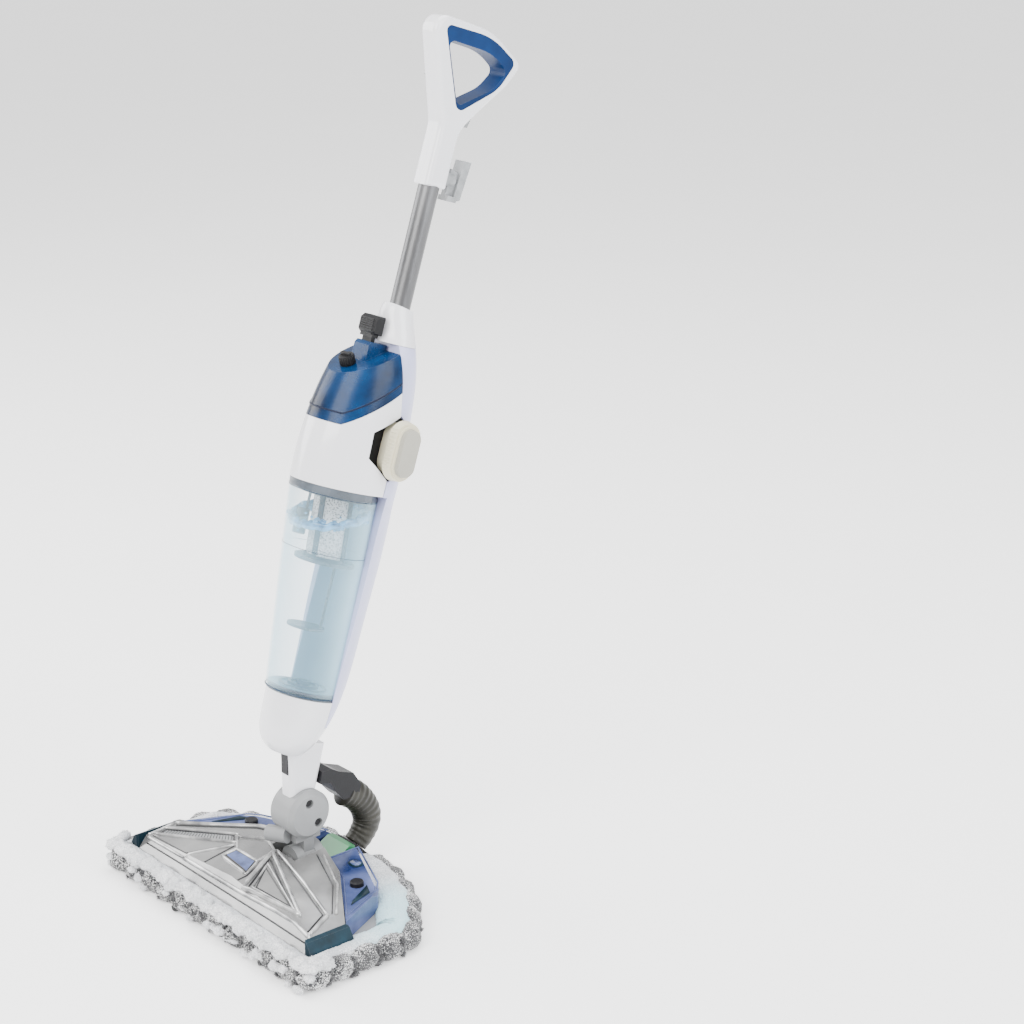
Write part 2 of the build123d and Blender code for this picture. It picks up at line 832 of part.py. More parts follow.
def make_housing():
    region = side_region([
        (-140.0, housing_bottom), (housing_back - gap, housing_bottom),
        (housing_back - gap, 471.0), (-36.9, seam(-36.9)), (-100.0, seam(-100.0)),
        (-140.0, seam(-140.0)),
    ])
    room = side_region([
        (-140.0, housing_bottom - 1.0), (housing_back + 2.0, housing_bottom - 1.0),
        (housing_back + 2.0, 466.0), (-38.0 - wall, 474.0),
        (-38.0 - wall, seam(-38.0) - 2 * wall), (-100.0, seam(-100.0) - wall - 1.0),
        (-140.0, seam(-140.0) - wall - 1.0),
    ])
    with BuildPart() as hollow:
        add(main_inner)
        add(room, mode=Mode.INTERSECT)
    with BuildPart() as housing:
        add(main_form)
        add(region, mode=Mode.INTERSECT)
        add(hollow.part, mode=Mode.SUBTRACT)
        add(dial_bore, mode=Mode.SUBTRACT)
    keep("housing", housing)


def make_dial_well():
    with BuildPart() as clip:
        add(hood_inner)
        add(side_region([(-90.0, 380.0), (30.0, 380.0), (30.0, 500.0), (-90.0, 500.0)]),
            mode=Mode.INTERSECT)
    with BuildPart() as dial_well:
        add(dial_recess(0.1, dial_well_floor - 3.2, dial_well_floor))
        add(clip.part, mode=Mode.INTERSECT)
        add(cross_rod(dial_offset, dial_height, 4.0 + running_fit, 30.0, 50.0), mode=Mode.SUBTRACT)
    keep("dial_well", dial_well)


def stadium(plane, width, length):
    with BuildSketch(plane) as outline:
        with Locations((dial_offset, dial_height)):
            SlotOverall(length, width, rotation=90)
    return outline.sketch


def make_dial():
    with BuildPart() as dial:
        with BuildSketch(side_plane(dial_well_floor + 0.6)):
            with Locations((dial_offset, dial_height)):
                SlotOverall(58.0, 30.0, rotation=90)
        extrude(amount=15.6)
        add(stadium(side_plane(57.0), 39.0, 69.0))
        add(stadium(side_plane(67.0), 35.0, 66.0))
        loft()
        with BuildSketch(side_plane(67.0)):
            with Locations((dial_offset, dial_height)):
                SlotOverall(60.0, 29.0, rotation=90)
        extrude(amount=3.0)
        add(cross_rod(dial_offset, dial_height, 4.0, 33.0, dial_well_floor + 1.0))
    keep("dial", dial)
    with BuildPart() as dial_plate:
        add(stadium(side_plane(70.05), 25.0, 55.0))
        add(stadium(side_plane(76.0), 23.0, 53.0))
        loft()
    keep("dial_plate", dial_plate)


def make_motor():
    centre = jar_centre(400.0) - 4.0
    with BuildPart() as fan_housing:
        add(main_inner)
        add(side_region([
            (-140.0, 384.0), (housing_back - 3.0, 384.0), (housing_back - 3.0, 387.0),
            (-140.0, 387.0),
        ]), mode=Mode.INTERSECT)
        add(upright(0, centre, 30.0, 386.5, 398.8))
        add(upright(0, centre, 12.0, 380.0, 390.0), mode=Mode.SUBTRACT)
    keep("fan_housing", fan_housing)
    with BuildPart() as suction_motor:
        add(upright(0, centre, 23.0, 399.0, 424.0))
        add(upright(0, centre, 9.0, 424.0, 430.0))
    keep("suction_motor", suction_motor)


def make_pump():
    with BuildPart() as pump:
        add(upright(-18.0, -66.0, 10.0, 432.0, 456.0))
        add(upright(-18.0, -66.0, 3.0, 456.0, 463.0))
    keep("pump", pump)
    with BuildPart() as control_board:
        with BuildSketch(front_plane(-40.0)):
            with Locations((-8.0, 436.0)):
                Rectangle(52.0, 58.0)
        extrude(amount=1.6)
        with BuildSketch(front_plane(-41.6)):
            with GridLocations(22.0, 24.0, 2, 2):
                with Locations((-8.0, 436.0)):
                    Rectangle(9.0, 9.0)
        extrude(amount=4.0)
    keep("control_board", control_board)


def make_cord_gland():
    """Socket in the back shell that the power cord leaves by."""
    with BuildPart() as cord_gland:
        with BuildSketch(Plane(origin=body_point(0, 13.6, gland_height), z_dir=back_axis)):
            Circle(8.0)
            Circle(4.0, mode=Mode.SUBTRACT)
        extrude(amount=7.0)
        chamfer(cord_gland.faces().sort_by(Axis.Y)[-1].edges().sort_by(SortBy.LENGTH)[-1], length=2)
    keep("cord_gland", cord_gland)


make_lower_cap()
make_boiler()
make_steam_pipe()
make_back_shell()
make_collar()
make_housing()
make_dial_well()
make_dial()
make_motor()
make_pump()


# ---- Lower jar and its filter ----

def make_jar():
    with BuildPart() as jar:
        add(jar_form(0.0, jar_bottom, jar_top))
        add(jar_form(-jar_wall, jar_bottom + 2.5, jar_top + 1.0), mode=Mode.SUBTRACT)
    keep("jar", jar)
    with BuildPart() as jar_rim:
        add(jar_form(0.0, jar_top + 0.1, housing_bottom - gap))
        add(jar_form(-7.0, jar_top - 1.0, housing_bottom + 1.0), mode=Mode.SUBTRACT)
    keep("jar_rim", jar_rim)


def make_jar_floor():
    low = jar_bottom + 2.6
    with BuildPart() as jar_floor:
        add(jar_form(-jar_wall - 0.4, low, low + 3.0))
        for radius, height in ((28.0, 5.0), (18.0, 7.0), (8.0, 10.0)):
            add(upright(0, jar_centre(low), radius, low + 3.0, low + height))
            if radius > 8.0:
                add(upright(0, jar_centre(low), radius - 3.0, low + 3.0, low + 12.0),
                    mode=Mode.SUBTRACT)
    keep("jar_floor", jar_floor)


def tilted_core(radius, low, high):
    """Round column that follows the jar's centre line."""
    with BuildPart() as core:
        for height in (low, high):
            with BuildSketch(cross_plane(height)):
                with Locations((0, jar_centre(height) + 3.0)):
                    Circle(radius)
        loft(ruled=True)
    return core.part


def tilted_ring(outer, inner, low, high):
    with BuildPart() as ring:
        add(tilted_core(outer, low, high))
        add(tilted_core(inner, low - 1.0, high + 1.0), mode=Mode.SUBTRACT)
    return ring.part


def filter_strip(angle):
    """Upright strip of the filter frame, just outside the mesh."""
    x = 23.4 * cos(radians(angle))
    y = 23.4 * sin(radians(angle))
    with BuildPart() as strip:
        for height in (filter_low - 0.5, filter_high - 1.0):
            with BuildSketch(cross_plane(height)):
                with Locations((x, y + jar_centre(height) + 3.0)):
                    Rectangle(6.0, 2.2, rotation=angle + 90.0)
        loft(ruled=True)
    return strip.part


def make_filter():
    with BuildPart() as filter_mesh:
        add(tilted_ring(22.0, 20.8, filter_low + 3.1, filter_high - 3.1))
    keep("filter_mesh", filter_mesh)
    with BuildPart() as filter_frame:
        add(tilted_ring(43.0, 22.2, filter_high - 3.0, filter_high))
        add(tilted_ring(34.5, 18.0, filter_low - 4.0, filter_low))
        add(tilted_ring(24.5, 18.0, filter_low, filter_low + 3.0))
        for angle in (20.0, 110.0, 200.0, 290.0):
            add(filter_strip(angle))
    keep("filter_frame", filter_frame)
    offset = jar_centre(filter_low) + 3.0
    with BuildPart() as separator:
        add(upright(0, offset - 4.0, 21.6, 215.0, 218.0))
        add(upright(12.0, offset + 8.0, 1.6, 217.0, filter_low - 4.1))
    keep("separator_disc", separator)
    with BuildPart() as side_cup:
        add(upright(-19.0, -82.0, 7.5, 318.0, 346.0))
        add(upright(-19.0, -82.0, 6.0, 320.0, 350.0), mode=Mode.SUBTRACT)
        add(upright(-19.0, -78.0, 1.6, 346.0, filter_high - 3.1))
    keep("side_cup", side_cup)


# ---- Upper water tank ----

def make_water_tank():
    latch_block = side_region([
        (-72.0, tank_slope(-72.0) - 1.0), (-46.2, tank_slope(-46.2) - 1.0), (-46.2, 545.0),
        (-69.0, 545.0), (-72.0, 541.0),
    ], 13.0)
    latch_slot = side_region([(-67.2, 531.0), (-60.6, 531.0), (-60.6, 550.0), (-67.2, 550.0)], 8.4)
    seam_top = seam_band + 0.3
    region = side_region([
        (-140.0, seam(-140.0) + seam_top), (-100.0, seam(-100.0) + seam_top),
        (-39.6, seam(-39.6) + seam_top), (-43.2, 537.0),
        (-44.5, tank_slope(-44.5)), (-140.0, tank_slope(-140.0)),
    ])
    room = side_region([
        (-140.0, seam(-140.0)), (-100.0, seam(-100.0)), (-39.6 - wall, seam(-39.6) - 4.0),
        (-43.0 - wall, 530.0),
        (-47.5, tank_slope(-47.5) - wall - 0.6), (-140.0, tank_slope(-140.0) - wall - 0.6),
    ])
    with BuildPart() as hollow:
        add(main_inner)
        add(room, mode=Mode.INTERSECT)
    with BuildPart() as water_tank:
        add(main_form)
        add(region, mode=Mode.INTERSECT)
        add(hollow.part, mode=Mode.SUBTRACT)
        with BuildSketch(slope_plane(-84.0)):
            Circle(5.0)
        extrude(amount=8.0, both=True, mode=Mode.SUBTRACT)
        add(latch_block)
        add(latch_slot, mode=Mode.SUBTRACT)
    keep("water_tank", water_tank)
    band = side_region([
        (-140.0, seam(-140.0) + 0.4), (-100.0, seam(-100.0) + 0.4), (-37.4, seam(-37.4) + 0.4),
        (-39.6, seam(-39.6) + seam_band), (-100.0, seam(-100.0) + seam_band),
        (-140.0, seam(-140.0) + seam_band),
    ])
    band_room = side_region([
        (-140.0, seam(-140.0) + 4.0), (-100.0, seam(-100.0) + 4.0), (-42.0, seam(-42.0) + 4.0),
        (-42.0, seam(-42.0) + seam_band + 3.0), (-140.0, seam(-42.0) + seam_band + 3.0),
    ])
    with BuildPart() as band_hollow:
        add(main_inner)
        add(band_room, mode=Mode.INTERSECT)
    with BuildPart() as tank_base:
        add(main_form)
        add(band, mode=Mode.INTERSECT)
        add(band_hollow.part, mode=Mode.SUBTRACT)
    keep("tank_base", tank_base)


def slope_plane(offset):
    """Plane on the tank's sloping top."""
    origin = body_point(0, offset, tank_slope(offset))
    normal = up_axis - back_axis * 0.6
    return Plane(origin=origin, x_dir=(1, 0, 0), z_dir=normal)


def make_tank_valve():
    with BuildPart() as tank_valve:
        add(upright(0, -74.0, 9.0, seam(-74.0) + 13.0, seam(-74.0) + 24.0))
        add(upright(0, -74.0, 4.0, seam(-74.0) + 24.0, seam(-74.0) + 34.0))
    keep("tank_valve", tank_valve)


def make_latch():
    with BuildPart() as tank_latch:
        add(side_region([(-66.8, 537.0), (-61.0, 537.0), (-61.0, 550.0), (-66.8, 550.0)], 8.0))
        add(side_region([
            (-69.0, 550.0), (-60.8, 550.0), (-57.4, 574.0), (-64.5, 574.0), (-67.0, 571.0),
        ], 11.0))
        for step in range(5):
            height = 553.5 + 4.0 * step
            front = -69.8 + 0.5 * step
            add(side_region([
                (front, height), (front + 3.0, height - 0.6), (front + 3.0, height + 2.0),
                (front, height + 1.4),
            ], 9.5))
    keep("tank_latch", tank_latch)


def make_fill_cap():
    with BuildPart() as fill_cap:
        with BuildSketch(slope_plane(-84.0).offset(0.3)):
            Circle(8.4)
        extrude(amount=11.0)
        with BuildSketch(slope_plane(-84.0).offset(-6.0)):
            Circle(4.8)
        extrude(amount=7.0)
        with BuildSketch(slope_plane(-84.0).offset(11.3)):
            Rectangle(15.0, 4.0)
        extrude(amount=3.0)
    keep("fill_cap", fill_cap)


# ---- Tube, handle and cord hook ----

def make_tube():
    with BuildPart() as tube:
        add(upright(0, tube_offset, tube_radius, tube_bottom, tube_top))
        add(upright(0, tube_offset, tube_radius - tube_wall, tube_bottom - 1.0, tube_top + 1.0),
            mode=Mode.SUBTRACT)
    keep("tube", tube)


handle_outline = [
    (-45.5, handle_bottom), (-45.0, 796.0), (-93.0, 911.0), (0.0, 909.5), (51.0, 884.0),
    (36.0, 857.0), (4.0, 819.0), (-16.0, 794.0), (-16.0, handle_bottom),
]
handle_radii = (1.0, 40.0, 17.0, 90.0, 9.0, 40.0, 50.0, 40.0, 1.0)
grip_outline = [(-73.0, 901.0), (-3.0, 903.0), (39.0, 884.0), (23.0, 850.0), (-28.0, 811.0)]
grip_radii = (6.0, 90.0, 8.0, 50.0, 9.0)
hand_hole = [(-63.5, 886.0), (4.0, 886.0), (30.5, 871.5), (16.0, 848.5), (-29.5, 818.5)]
hand_radii = (6.0, 70.0, 8.0, 50.0, 7.0)
handle_screw_places = ((-62.0, 846.0), (-37.0, 786.0))


def outline_solid(points, radii, low_x, high_x):
    """Slab with a closed side outline whose corners have their own radii."""
    with BuildPart() as solid:
        with BuildSketch(side_plane(low_x)):
            with BuildLine():
                FilletPolyline(*points, radius=tuple(radii), close=True)
            make_face()
        extrude(amount=high_x - low_x)
    return solid.part


def make_handle_shells():
    with BuildPart() as form:
        add(outline_solid(handle_outline, handle_radii, -handle_half_width, handle_half_width))
        fillet(form.faces().filter_by(Axis.X).edges(), radius=6)
    for name, side in (("handle_right", 1), ("handle_left", -1)):
        with BuildPart() as handle_half:
            add(form.part)
            inside, outside = sorted((side * 0.05, side * 40.0))
            add(outline_solid([(-150.0, 700.0), (-150.0, 950.0), (90.0, 950.0), (90.0, 700.0)],
                              (1.0, 1.0, 1.0, 1.0), inside, outside), mode=Mode.INTERSECT)
            add(outline_solid(grip_outline, grip_radii, -20.0, 20.0), mode=Mode.SUBTRACT)
            add(upright(0, tube_offset, tube_radius + 0.02, 700.0, tube_top + 0.5),
                mode=Mode.SUBTRACT)
            add(side_region([(-12.0, 799.5), (6.0, 799.5), (6.0, 812.5), (-12.0, 812.5)], 4.4),
                mode=Mode.SUBTRACT)
            for offset, height in handle_screw_places:
                add(cross_rod(offset, height, 3.05, -20.0, -9.7), mode=Mode.SUBTRACT)
        keep(name, handle_half)


def make_grip():
    with BuildPart() as grip:
        add(outline_solid(
            grip_outline, grip_radii, -handle_half_width + 0.6, handle_half_width - 0.6))
        add(outline_solid(hand_hole, hand_radii, -20.0, 20.0), mode=Mode.SUBTRACT)
    keep("grip", grip)


def make_trigger():
    with BuildPart() as steam_trigger:
        add(side_region([(-8.0, 800.0), (-0.5, 800.0), (2.6, 812.0), (-8.0, 812.0)], 4.0))
    keep("steam_trigger", steam_trigger)


def make_handle_screws():
    with BuildPart() as handle_screws:
        for offset, height in handle_screw_places:
            add(cross_rod(offset, height, 3.0, -12.4, -9.8))
    keep("handle_screws", handle_screws)


def make_cord_hook():
    with BuildPart() as hook_mount:
        with BuildSketch(front_plane(-8.2)):
            with Locations((0, hook_height)):
                Circle(8.0)
        extrude(amount=7.6)
        with BuildSketch(front_plane(-2.0)):
            with Locations((0, hook_height)):
                Circle(3.5)
        extrude(amount=6.2)
    keep("hook_mount", hook_mount)
    with BuildPart() as cord_hook:
        add(side_region([(-8.0, 718.0), (-3.0, 716.0), (10.0, 720.0), (10.0, 726.0),
                         (3.0, 726.0), (3.0, 749.0), (-8.0, 752.0)], 4.0))
        add(side_region([(1.0, 716.5), (11.0, 720.0), (15.0, 764.0), (4.5, 764.0)], 8.0))
        add(side_region([(-8.0, 716.0), (6.0, 716.0), (6.0, 722.0), (-8.0, 722.0)], 8.0))
        with BuildSketch(front_plane(-1.0)):
            with Locations((0, hook_height)):
                Circle(8.0)
        extrude(amount=7.0)
        with BuildSketch(front_plane(-1.9)):
            with Locations((0, hook_height)):
                Circle(3.5 + running_fit)
        extrude(amount=7.0, mode=Mode.SUBTRACT)
    keep("cord_hook", cord_hook)


make_jar()
make_jar_floor()
make_filter()
make_water_tank()
make_tank_valve()
make_latch()
make_fill_cap()
make_tube()
make_handle_shells()
make_grip()
make_trigger()
make_handle_screws()
make_cord_hook()
make_cord_gland()
make_duct_elbow()
make_suction_hose()
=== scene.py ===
import bpy, bmesh, math, json, random
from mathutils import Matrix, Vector, noise


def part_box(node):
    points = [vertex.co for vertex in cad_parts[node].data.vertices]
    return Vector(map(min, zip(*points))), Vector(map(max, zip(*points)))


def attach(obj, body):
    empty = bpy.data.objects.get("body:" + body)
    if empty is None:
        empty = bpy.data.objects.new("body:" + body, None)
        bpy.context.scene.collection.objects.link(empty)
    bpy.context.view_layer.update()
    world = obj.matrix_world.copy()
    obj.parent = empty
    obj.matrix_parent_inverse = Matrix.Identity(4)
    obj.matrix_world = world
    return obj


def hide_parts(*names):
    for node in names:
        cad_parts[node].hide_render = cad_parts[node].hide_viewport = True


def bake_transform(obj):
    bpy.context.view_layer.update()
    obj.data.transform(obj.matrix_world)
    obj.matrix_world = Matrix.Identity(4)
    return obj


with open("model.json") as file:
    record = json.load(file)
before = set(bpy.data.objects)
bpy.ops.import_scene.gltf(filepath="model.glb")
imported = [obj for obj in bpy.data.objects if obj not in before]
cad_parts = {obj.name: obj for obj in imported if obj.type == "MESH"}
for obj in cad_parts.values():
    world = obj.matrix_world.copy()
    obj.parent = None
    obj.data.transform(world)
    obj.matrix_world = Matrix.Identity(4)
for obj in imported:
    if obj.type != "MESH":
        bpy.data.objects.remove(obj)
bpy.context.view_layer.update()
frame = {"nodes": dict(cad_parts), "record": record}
print("frame loaded", len(frame["nodes"]), "nodes")

leanAngle = math.radians(18.5)
pivotHeight = 0.1026  # metres, the middle of the barrel
upAxis = Vector((0, math.sin(leanAngle), math.cos(leanAngle)))
backAxis = Vector((0, math.cos(leanAngle), -math.sin(leanAngle)))


def bodyPoint(x, back, up):  # from millimetres along the leaning body to a place in metres
    return Vector((x / 1000, 0, pivotHeight)) + backAxis * (back / 1000) + upAxis * (up / 1000)


view = {"distance": 2.4, "turn": 54.99, "height": 1.2583, "aim": 49.14, "dip": 18.40, "lens": 80.19}


def makeCamera():
    turn, aim, dip = (math.radians(view[k]) for k in ("turn", "aim", "dip"))
    data = bpy.data.cameras.new("camera")
    data.sensor_width = 36
    data.lens = view["lens"]
    data.clip_end = 40
    camera = bpy.data.objects.new("camera", data)
    camera.location = (view["distance"] * math.sin(turn), -view["distance"] * math.cos(turn), view["height"])
    forward = Vector((-math.sin(aim) * math.cos(dip), math.cos(aim) * math.cos(dip), -math.sin(dip)))
    camera.rotation_euler = forward.to_track_quat("-Z", "Y").to_euler()
    bpy.context.scene.collection.objects.link(camera)
    bpy.context.scene.camera = camera


lights = {
    "key": {"place": (0.9, -2.4, 2.6), "size": 2.2, "power": 148, "tint": (1, 0.99, 0.97)},
    "side": {"place": (2.8, 0.9, 1.8), "size": 2.0, "power": 92, "tint": (0.94, 0.97, 1)},
    "left": {"place": (-2.6, -1.2, 1.7), "size": 2.0, "power": 84, "tint": (1, 1, 1)},
    "top": {"place": (-0.2, 0.6, 3.2), "size": 2.6, "power": 116, "tint": (1, 1, 1)},
}


def makeLights():
    for name, spec in lights.items():
        data = bpy.data.lights.new(name, "AREA")
        data.size = spec["size"]
        data.energy = spec["power"]
        data.color = spec["tint"]
        lamp = bpy.data.objects.new(name, data)
        lamp.location = spec["place"]
        lamp.rotation_euler = (Vector((0, 0.1, 0.4)) - lamp.location).to_track_quat("-Z", "Y").to_euler()
        bpy.context.scene.collection.objects.link(lamp)
    world = bpy.data.worlds.new("studio")
    world.use_nodes = True
    world.node_tree.nodes["Background"].inputs[0].default_value = (1, 1, 1, 1)
    world.node_tree.nodes["Background"].inputs[1].default_value = 1.15
    bpy.context.scene.world = world


def addPiece(name, verts, faces, material, body, smooth=True, slot=None):
    mesh = bpy.data.meshes.new(name)
    mesh.from_pydata([tuple(v) for v in verts], [], faces)
    mesh.validate()
    mesh.update()
    piece = bpy.data.objects.new(name, mesh)
    bpy.context.scene.collection.objects.link(piece)
    if smooth:
        for poly in mesh.polygons:
            poly.use_smooth = True
    mesh.materials.append(material)
    if body:
        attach(piece, body)
    return piece


def applied(piece, *modifiers):
    for kind, settings in modifiers:
        modifier = piece.modifiers.new(kind.lower(), kind)
        for key, value in settings.items():
            setattr(modifier, key, value)
    depsgraph = bpy.context.evaluated_depsgraph_get()
    mesh = bpy.data.meshes.new_from_object(piece.evaluated_get(depsgraph))
    piece.modifiers.clear()
    piece.data = mesh
    return piece


def ringFaces(rings, around, closedAlong=False, capStart=True, capEnd=True, start=0):
    faces = []
    last = rings if closedAlong else rings - 1
    for i in range(last):
        for j in range(around):
            a = start + i * around + j
            b = start + i * around + (j + 1) % around
            c = start + ((i + 1) % rings) * around + (j + 1) % around
            d = start + ((i + 1) % rings) * around + j
            faces.append((a, b, c, d))
    if not closedAlong and capStart:
        faces.append(tuple(start + j for j in reversed(range(around))))
    if not closedAlong and capEnd:
        faces.append(tuple(start + (rings - 1) * around + j for j in range(around)))
    return faces


def tube(path, radius, around=10, side=None):
    # verts and faces of a closed tube; radius is a number or one (wide, deep) pair for each point
    verts = []
    count = len(path)
    for i, point in enumerate(path):
        ahead = path[min(i + 1, count - 1)] - path[max(i - 1, 0)]
        ahead.normalize()
        across = side or ahead.orthogonal().normalized()
        across = (across - ahead * across.dot(ahead)).normalized()
        over = ahead.cross(across)
        wide, deep = radius[i] if isinstance(radius, list) else (radius, radius)
        for j in range(around):
            turn = 2 * math.pi * j / around
            verts.append(point + across * (wide * math.cos(turn)) + over * (deep * math.sin(turn)))
    return verts, ringFaces(count, around)


def joined(parts):
    verts, faces = [], []
    for v, f in parts:
        start = len(verts)
        verts += list(v)
        faces += [tuple(i + start for i in face) for face in f]
    return verts, faces


def block(corners):
    # a six-sided solid from four base corners and four top corners
    return corners, [(3, 2, 1, 0), (4, 5, 6, 7), (0, 1, 5, 4), (1, 2, 6, 5), (2, 3, 7, 6), (3, 0, 4, 7)]


def link(tree, a, b):
    tree.links.new(a, b)


def plastic(name, color, rough=0.32, tone=0.05, toneSize=0.05, grain=0.12, grainSize=0.0012, metal=0.0, coat=0.0,
            sheen=0.0, alpha=1.0, edgeAlpha=None, edgeWearAndHighlight=0.15, dark=None, gloss=0.5,
            selfGlow=0.0):
    material = bpy.data.materials.new(name)
    material.use_nodes = True
    tree = material.node_tree
    shader = tree.nodes["Principled BSDF"]
    place = tree.nodes.new("ShaderNodeTexCoord")
    blotch = tree.nodes.new("ShaderNodeTexNoise")
    blotch.inputs["Scale"].default_value = 1 / toneSize
    blotch.inputs["Detail"].default_value = 4
    link(tree, place.outputs["Object"], blotch.inputs["Vector"])
    shade = tree.nodes.new("ShaderNodeValToRGB")
    low = [c * (1 - tone) for c in (dark or color)]
    shade.color_ramp.elements[0].position = 0.3
    shade.color_ramp.elements[0].color = (*low, 1)
    shade.color_ramp.elements[1].position = 0.7
    shade.color_ramp.elements[1].color = (*[min(1, c * (1 + tone * 0.6)) for c in color], 1)
    link(tree, blotch.outputs["Fac"], shade.inputs["Fac"])
    base = shade.outputs["Color"]
    # lighter colour along every edge: partly real rubbed wear, partly a painted highlight on the edges
    if edgeWearAndHighlight > 0:
        shape = tree.nodes.new("ShaderNodeNewGeometry")
        rounded = tree.nodes.new("ShaderNodeBevel")  # differs from the true normal only beside an edge
        rounded.samples = 4
        rounded.inputs["Radius"].default_value = 0.0009
        agree = tree.nodes.new("ShaderNodeVectorMath")
        agree.operation = "DOT_PRODUCT"
        link(tree, rounded.outputs["Normal"], agree.inputs[0])
        link(tree, shape.outputs["Normal"], agree.inputs[1])
        edge = tree.nodes.new("ShaderNodeMapRange")
        edge.inputs["From Min"].default_value = 0.985
        edge.inputs["From Max"].default_value = 0.90
        edge.inputs["To Max"].default_value = edgeWearAndHighlight
        link(tree, agree.outputs["Value"], edge.inputs["Value"])
        edgeLighten = tree.nodes.new("ShaderNodeMix")
        edgeLighten.data_type = "RGBA"
        edgeLighten.inputs["B"].default_value = (*[min(1, c * 1.15 + 0.12) for c in color], 1)
        link(tree, edge.outputs["Result"], edgeLighten.inputs["Factor"])
        link(tree, base, edgeLighten.inputs["A"])
        base = edgeLighten.outputs["Result"]
    link(tree, base, shader.inputs["Base Color"])
    fine = tree.nodes.new("ShaderNodeTexNoise")
    fine.inputs["Scale"].default_value = 1 / grainSize
    fine.inputs["Detail"].default_value = 2
    link(tree, place.outputs["Object"], fine.inputs["Vector"])
    polish = tree.nodes.new("ShaderNodeMapRange")
    polish.inputs["To Min"].default_value = max(0.02, rough - 0.07)
    polish.inputs["To Max"].default_value = rough + 0.09
    link(tree, blotch.outputs["Fac"], polish.inputs["Value"])
    link(tree, polish.outputs["Result"], shader.inputs["Roughness"])
    bump = tree.nodes.new("ShaderNodeBump")
    bump.inputs["Strength"].default_value = grain
    bump.inputs["Distance"].default_value = grainSize * 0.4
    link(tree, fine.outputs["Fac"], bump.inputs["Height"])
    link(tree, bump.outputs["Normal"], shader.inputs["Normal"])
    shader.inputs["Metallic"].default_value = metal
    shader.inputs["Coat Weight"].default_value = coat
    shader.inputs["Coat Roughness"].default_value = 0.08
    shader.inputs["Sheen Weight"].default_value = sheen
    shader.inputs["Specular IOR Level"].default_value = gloss
    # the surface glows by itself at this strength: painted light on the jar and the water, and an evenly bright floor
    shader.inputs["Emission Color"].default_value = (*color, 1)
    shader.inputs["Emission Strength"].default_value = selfGlow
    shader.inputs["Alpha"].default_value = alpha
    if edgeAlpha is not None:  # clear plastic looks denser where it turns away
        facing = tree.nodes.new("ShaderNodeLayerWeight")
        facing.inputs["Blend"].default_value = 0.35
        solid = tree.nodes.new("ShaderNodeMapRange")
        solid.inputs["To Min"].default_value = alpha
        solid.inputs["To Max"].default_value = edgeAlpha
        link(tree, facing.outputs["Facing"], solid.inputs["Value"])
        link(tree, solid.outputs["Result"], shader.inputs["Alpha"])
    return material


def terry(name, pale, dark, speck=0.0016, share=0.5, glow=None):
    # looped cotton: pale loops with dark yarn that shows between them
    material = plastic(name, pale, rough=0.9, grain=0.9, grainSize=0.0012, sheen=0.4, edgeWearAndHighlight=0)
    tree = material.node_tree
    shader = tree.nodes["Principled BSDF"]
    place = tree.nodes.new("ShaderNodeTexCoord")
    loops = tree.nodes.new("ShaderNodeTexVoronoi")
    loops.inputs["Scale"].default_value = 1 / speck
    link(tree, place.outputs["Object"], loops.inputs["Vector"])
    patch = tree.nodes.new("ShaderNodeTexNoise")
    patch.inputs["Scale"].default_value = 45
    patch.inputs["Detail"].default_value = 3
    link(tree, place.outputs["Object"], patch.inputs["Vector"])
    mixFactor = tree.nodes.new("ShaderNodeMath")
    mixFactor.operation = "ADD"
    link(tree, loops.outputs["Distance"], mixFactor.inputs[0])
    link(tree, patch.outputs["Fac"], mixFactor.inputs[1])
    ramp = tree.nodes.new("ShaderNodeValToRGB")
    ramp.color_ramp.elements[0].position = share + 0.25
    ramp.color_ramp.elements[0].color = (*pale, 1)
    ramp.color_ramp.elements[1].position = min(1, share + 0.50)
    ramp.color_ramp.elements[1].color = (*dark, 1)
    link(tree, mixFactor.outputs[0], ramp.inputs["Fac"])
    colour = ramp.outputs["Color"]
    # painted pale-cyan light, pooled round one place on the fleece
    if glow:
        where = tree.nodes.new("ShaderNodeVectorMath")
        where.operation = "DISTANCE"
        where.inputs[1].default_value = glow["place"]
        link(tree, place.outputs["Object"], where.inputs[0])
        near = tree.nodes.new("ShaderNodeMapRange")
        near.inputs["From Min"].default_value = glow["reach"]
        near.inputs["From Max"].default_value = glow["reach"] * 0.3
        near.inputs["To Max"].default_value = 0.75
        link(tree, where.outputs["Value"], near.inputs["Value"])
        tint = tree.nodes.new("ShaderNodeMix")
        tint.data_type = "RGBA"
        tint.inputs["B"].default_value = (*glow["color"], 1)
        link(tree, near.outputs["Result"], tint.inputs["Factor"])
        link(tree, colour, tint.inputs["A"])
        colour = tint.outputs["Result"]
    link(tree, colour, shader.inputs["Base Color"])
    bump = next(n for n in tree.nodes if n.type == "BUMP")
    bump.inputs["Distance"].default_value = 0.0012
    link(tree, loops.outputs["Distance"], bump.inputs["Height"])
    return material


def brushed(name, color, rough=0.34):
    # metal drawn along the body, with fine streaks that run up it
    material = plastic(name, color, rough=rough, tone=0.18, toneSize=0.02, grain=0.15, metal=0.9, edgeWearAndHighlight=0.1)
    tree = material.node_tree
    stretch = tree.nodes.new("ShaderNodeMapping")
    stretch.inputs["Rotation"].default_value = (leanAngle, 0, 0)
    stretch.inputs["Scale"].default_value = (1, 1, 0.03)
    place = next(n for n in tree.nodes if n.type == "TEX_COORD")
    link(tree, place.outputs["Object"], stretch.inputs["Vector"])
    for node in [n for n in tree.nodes if n.type == "TEX_NOISE"]:
        link(tree, stretch.outputs["Vector"], node.inputs["Vector"])
    return material


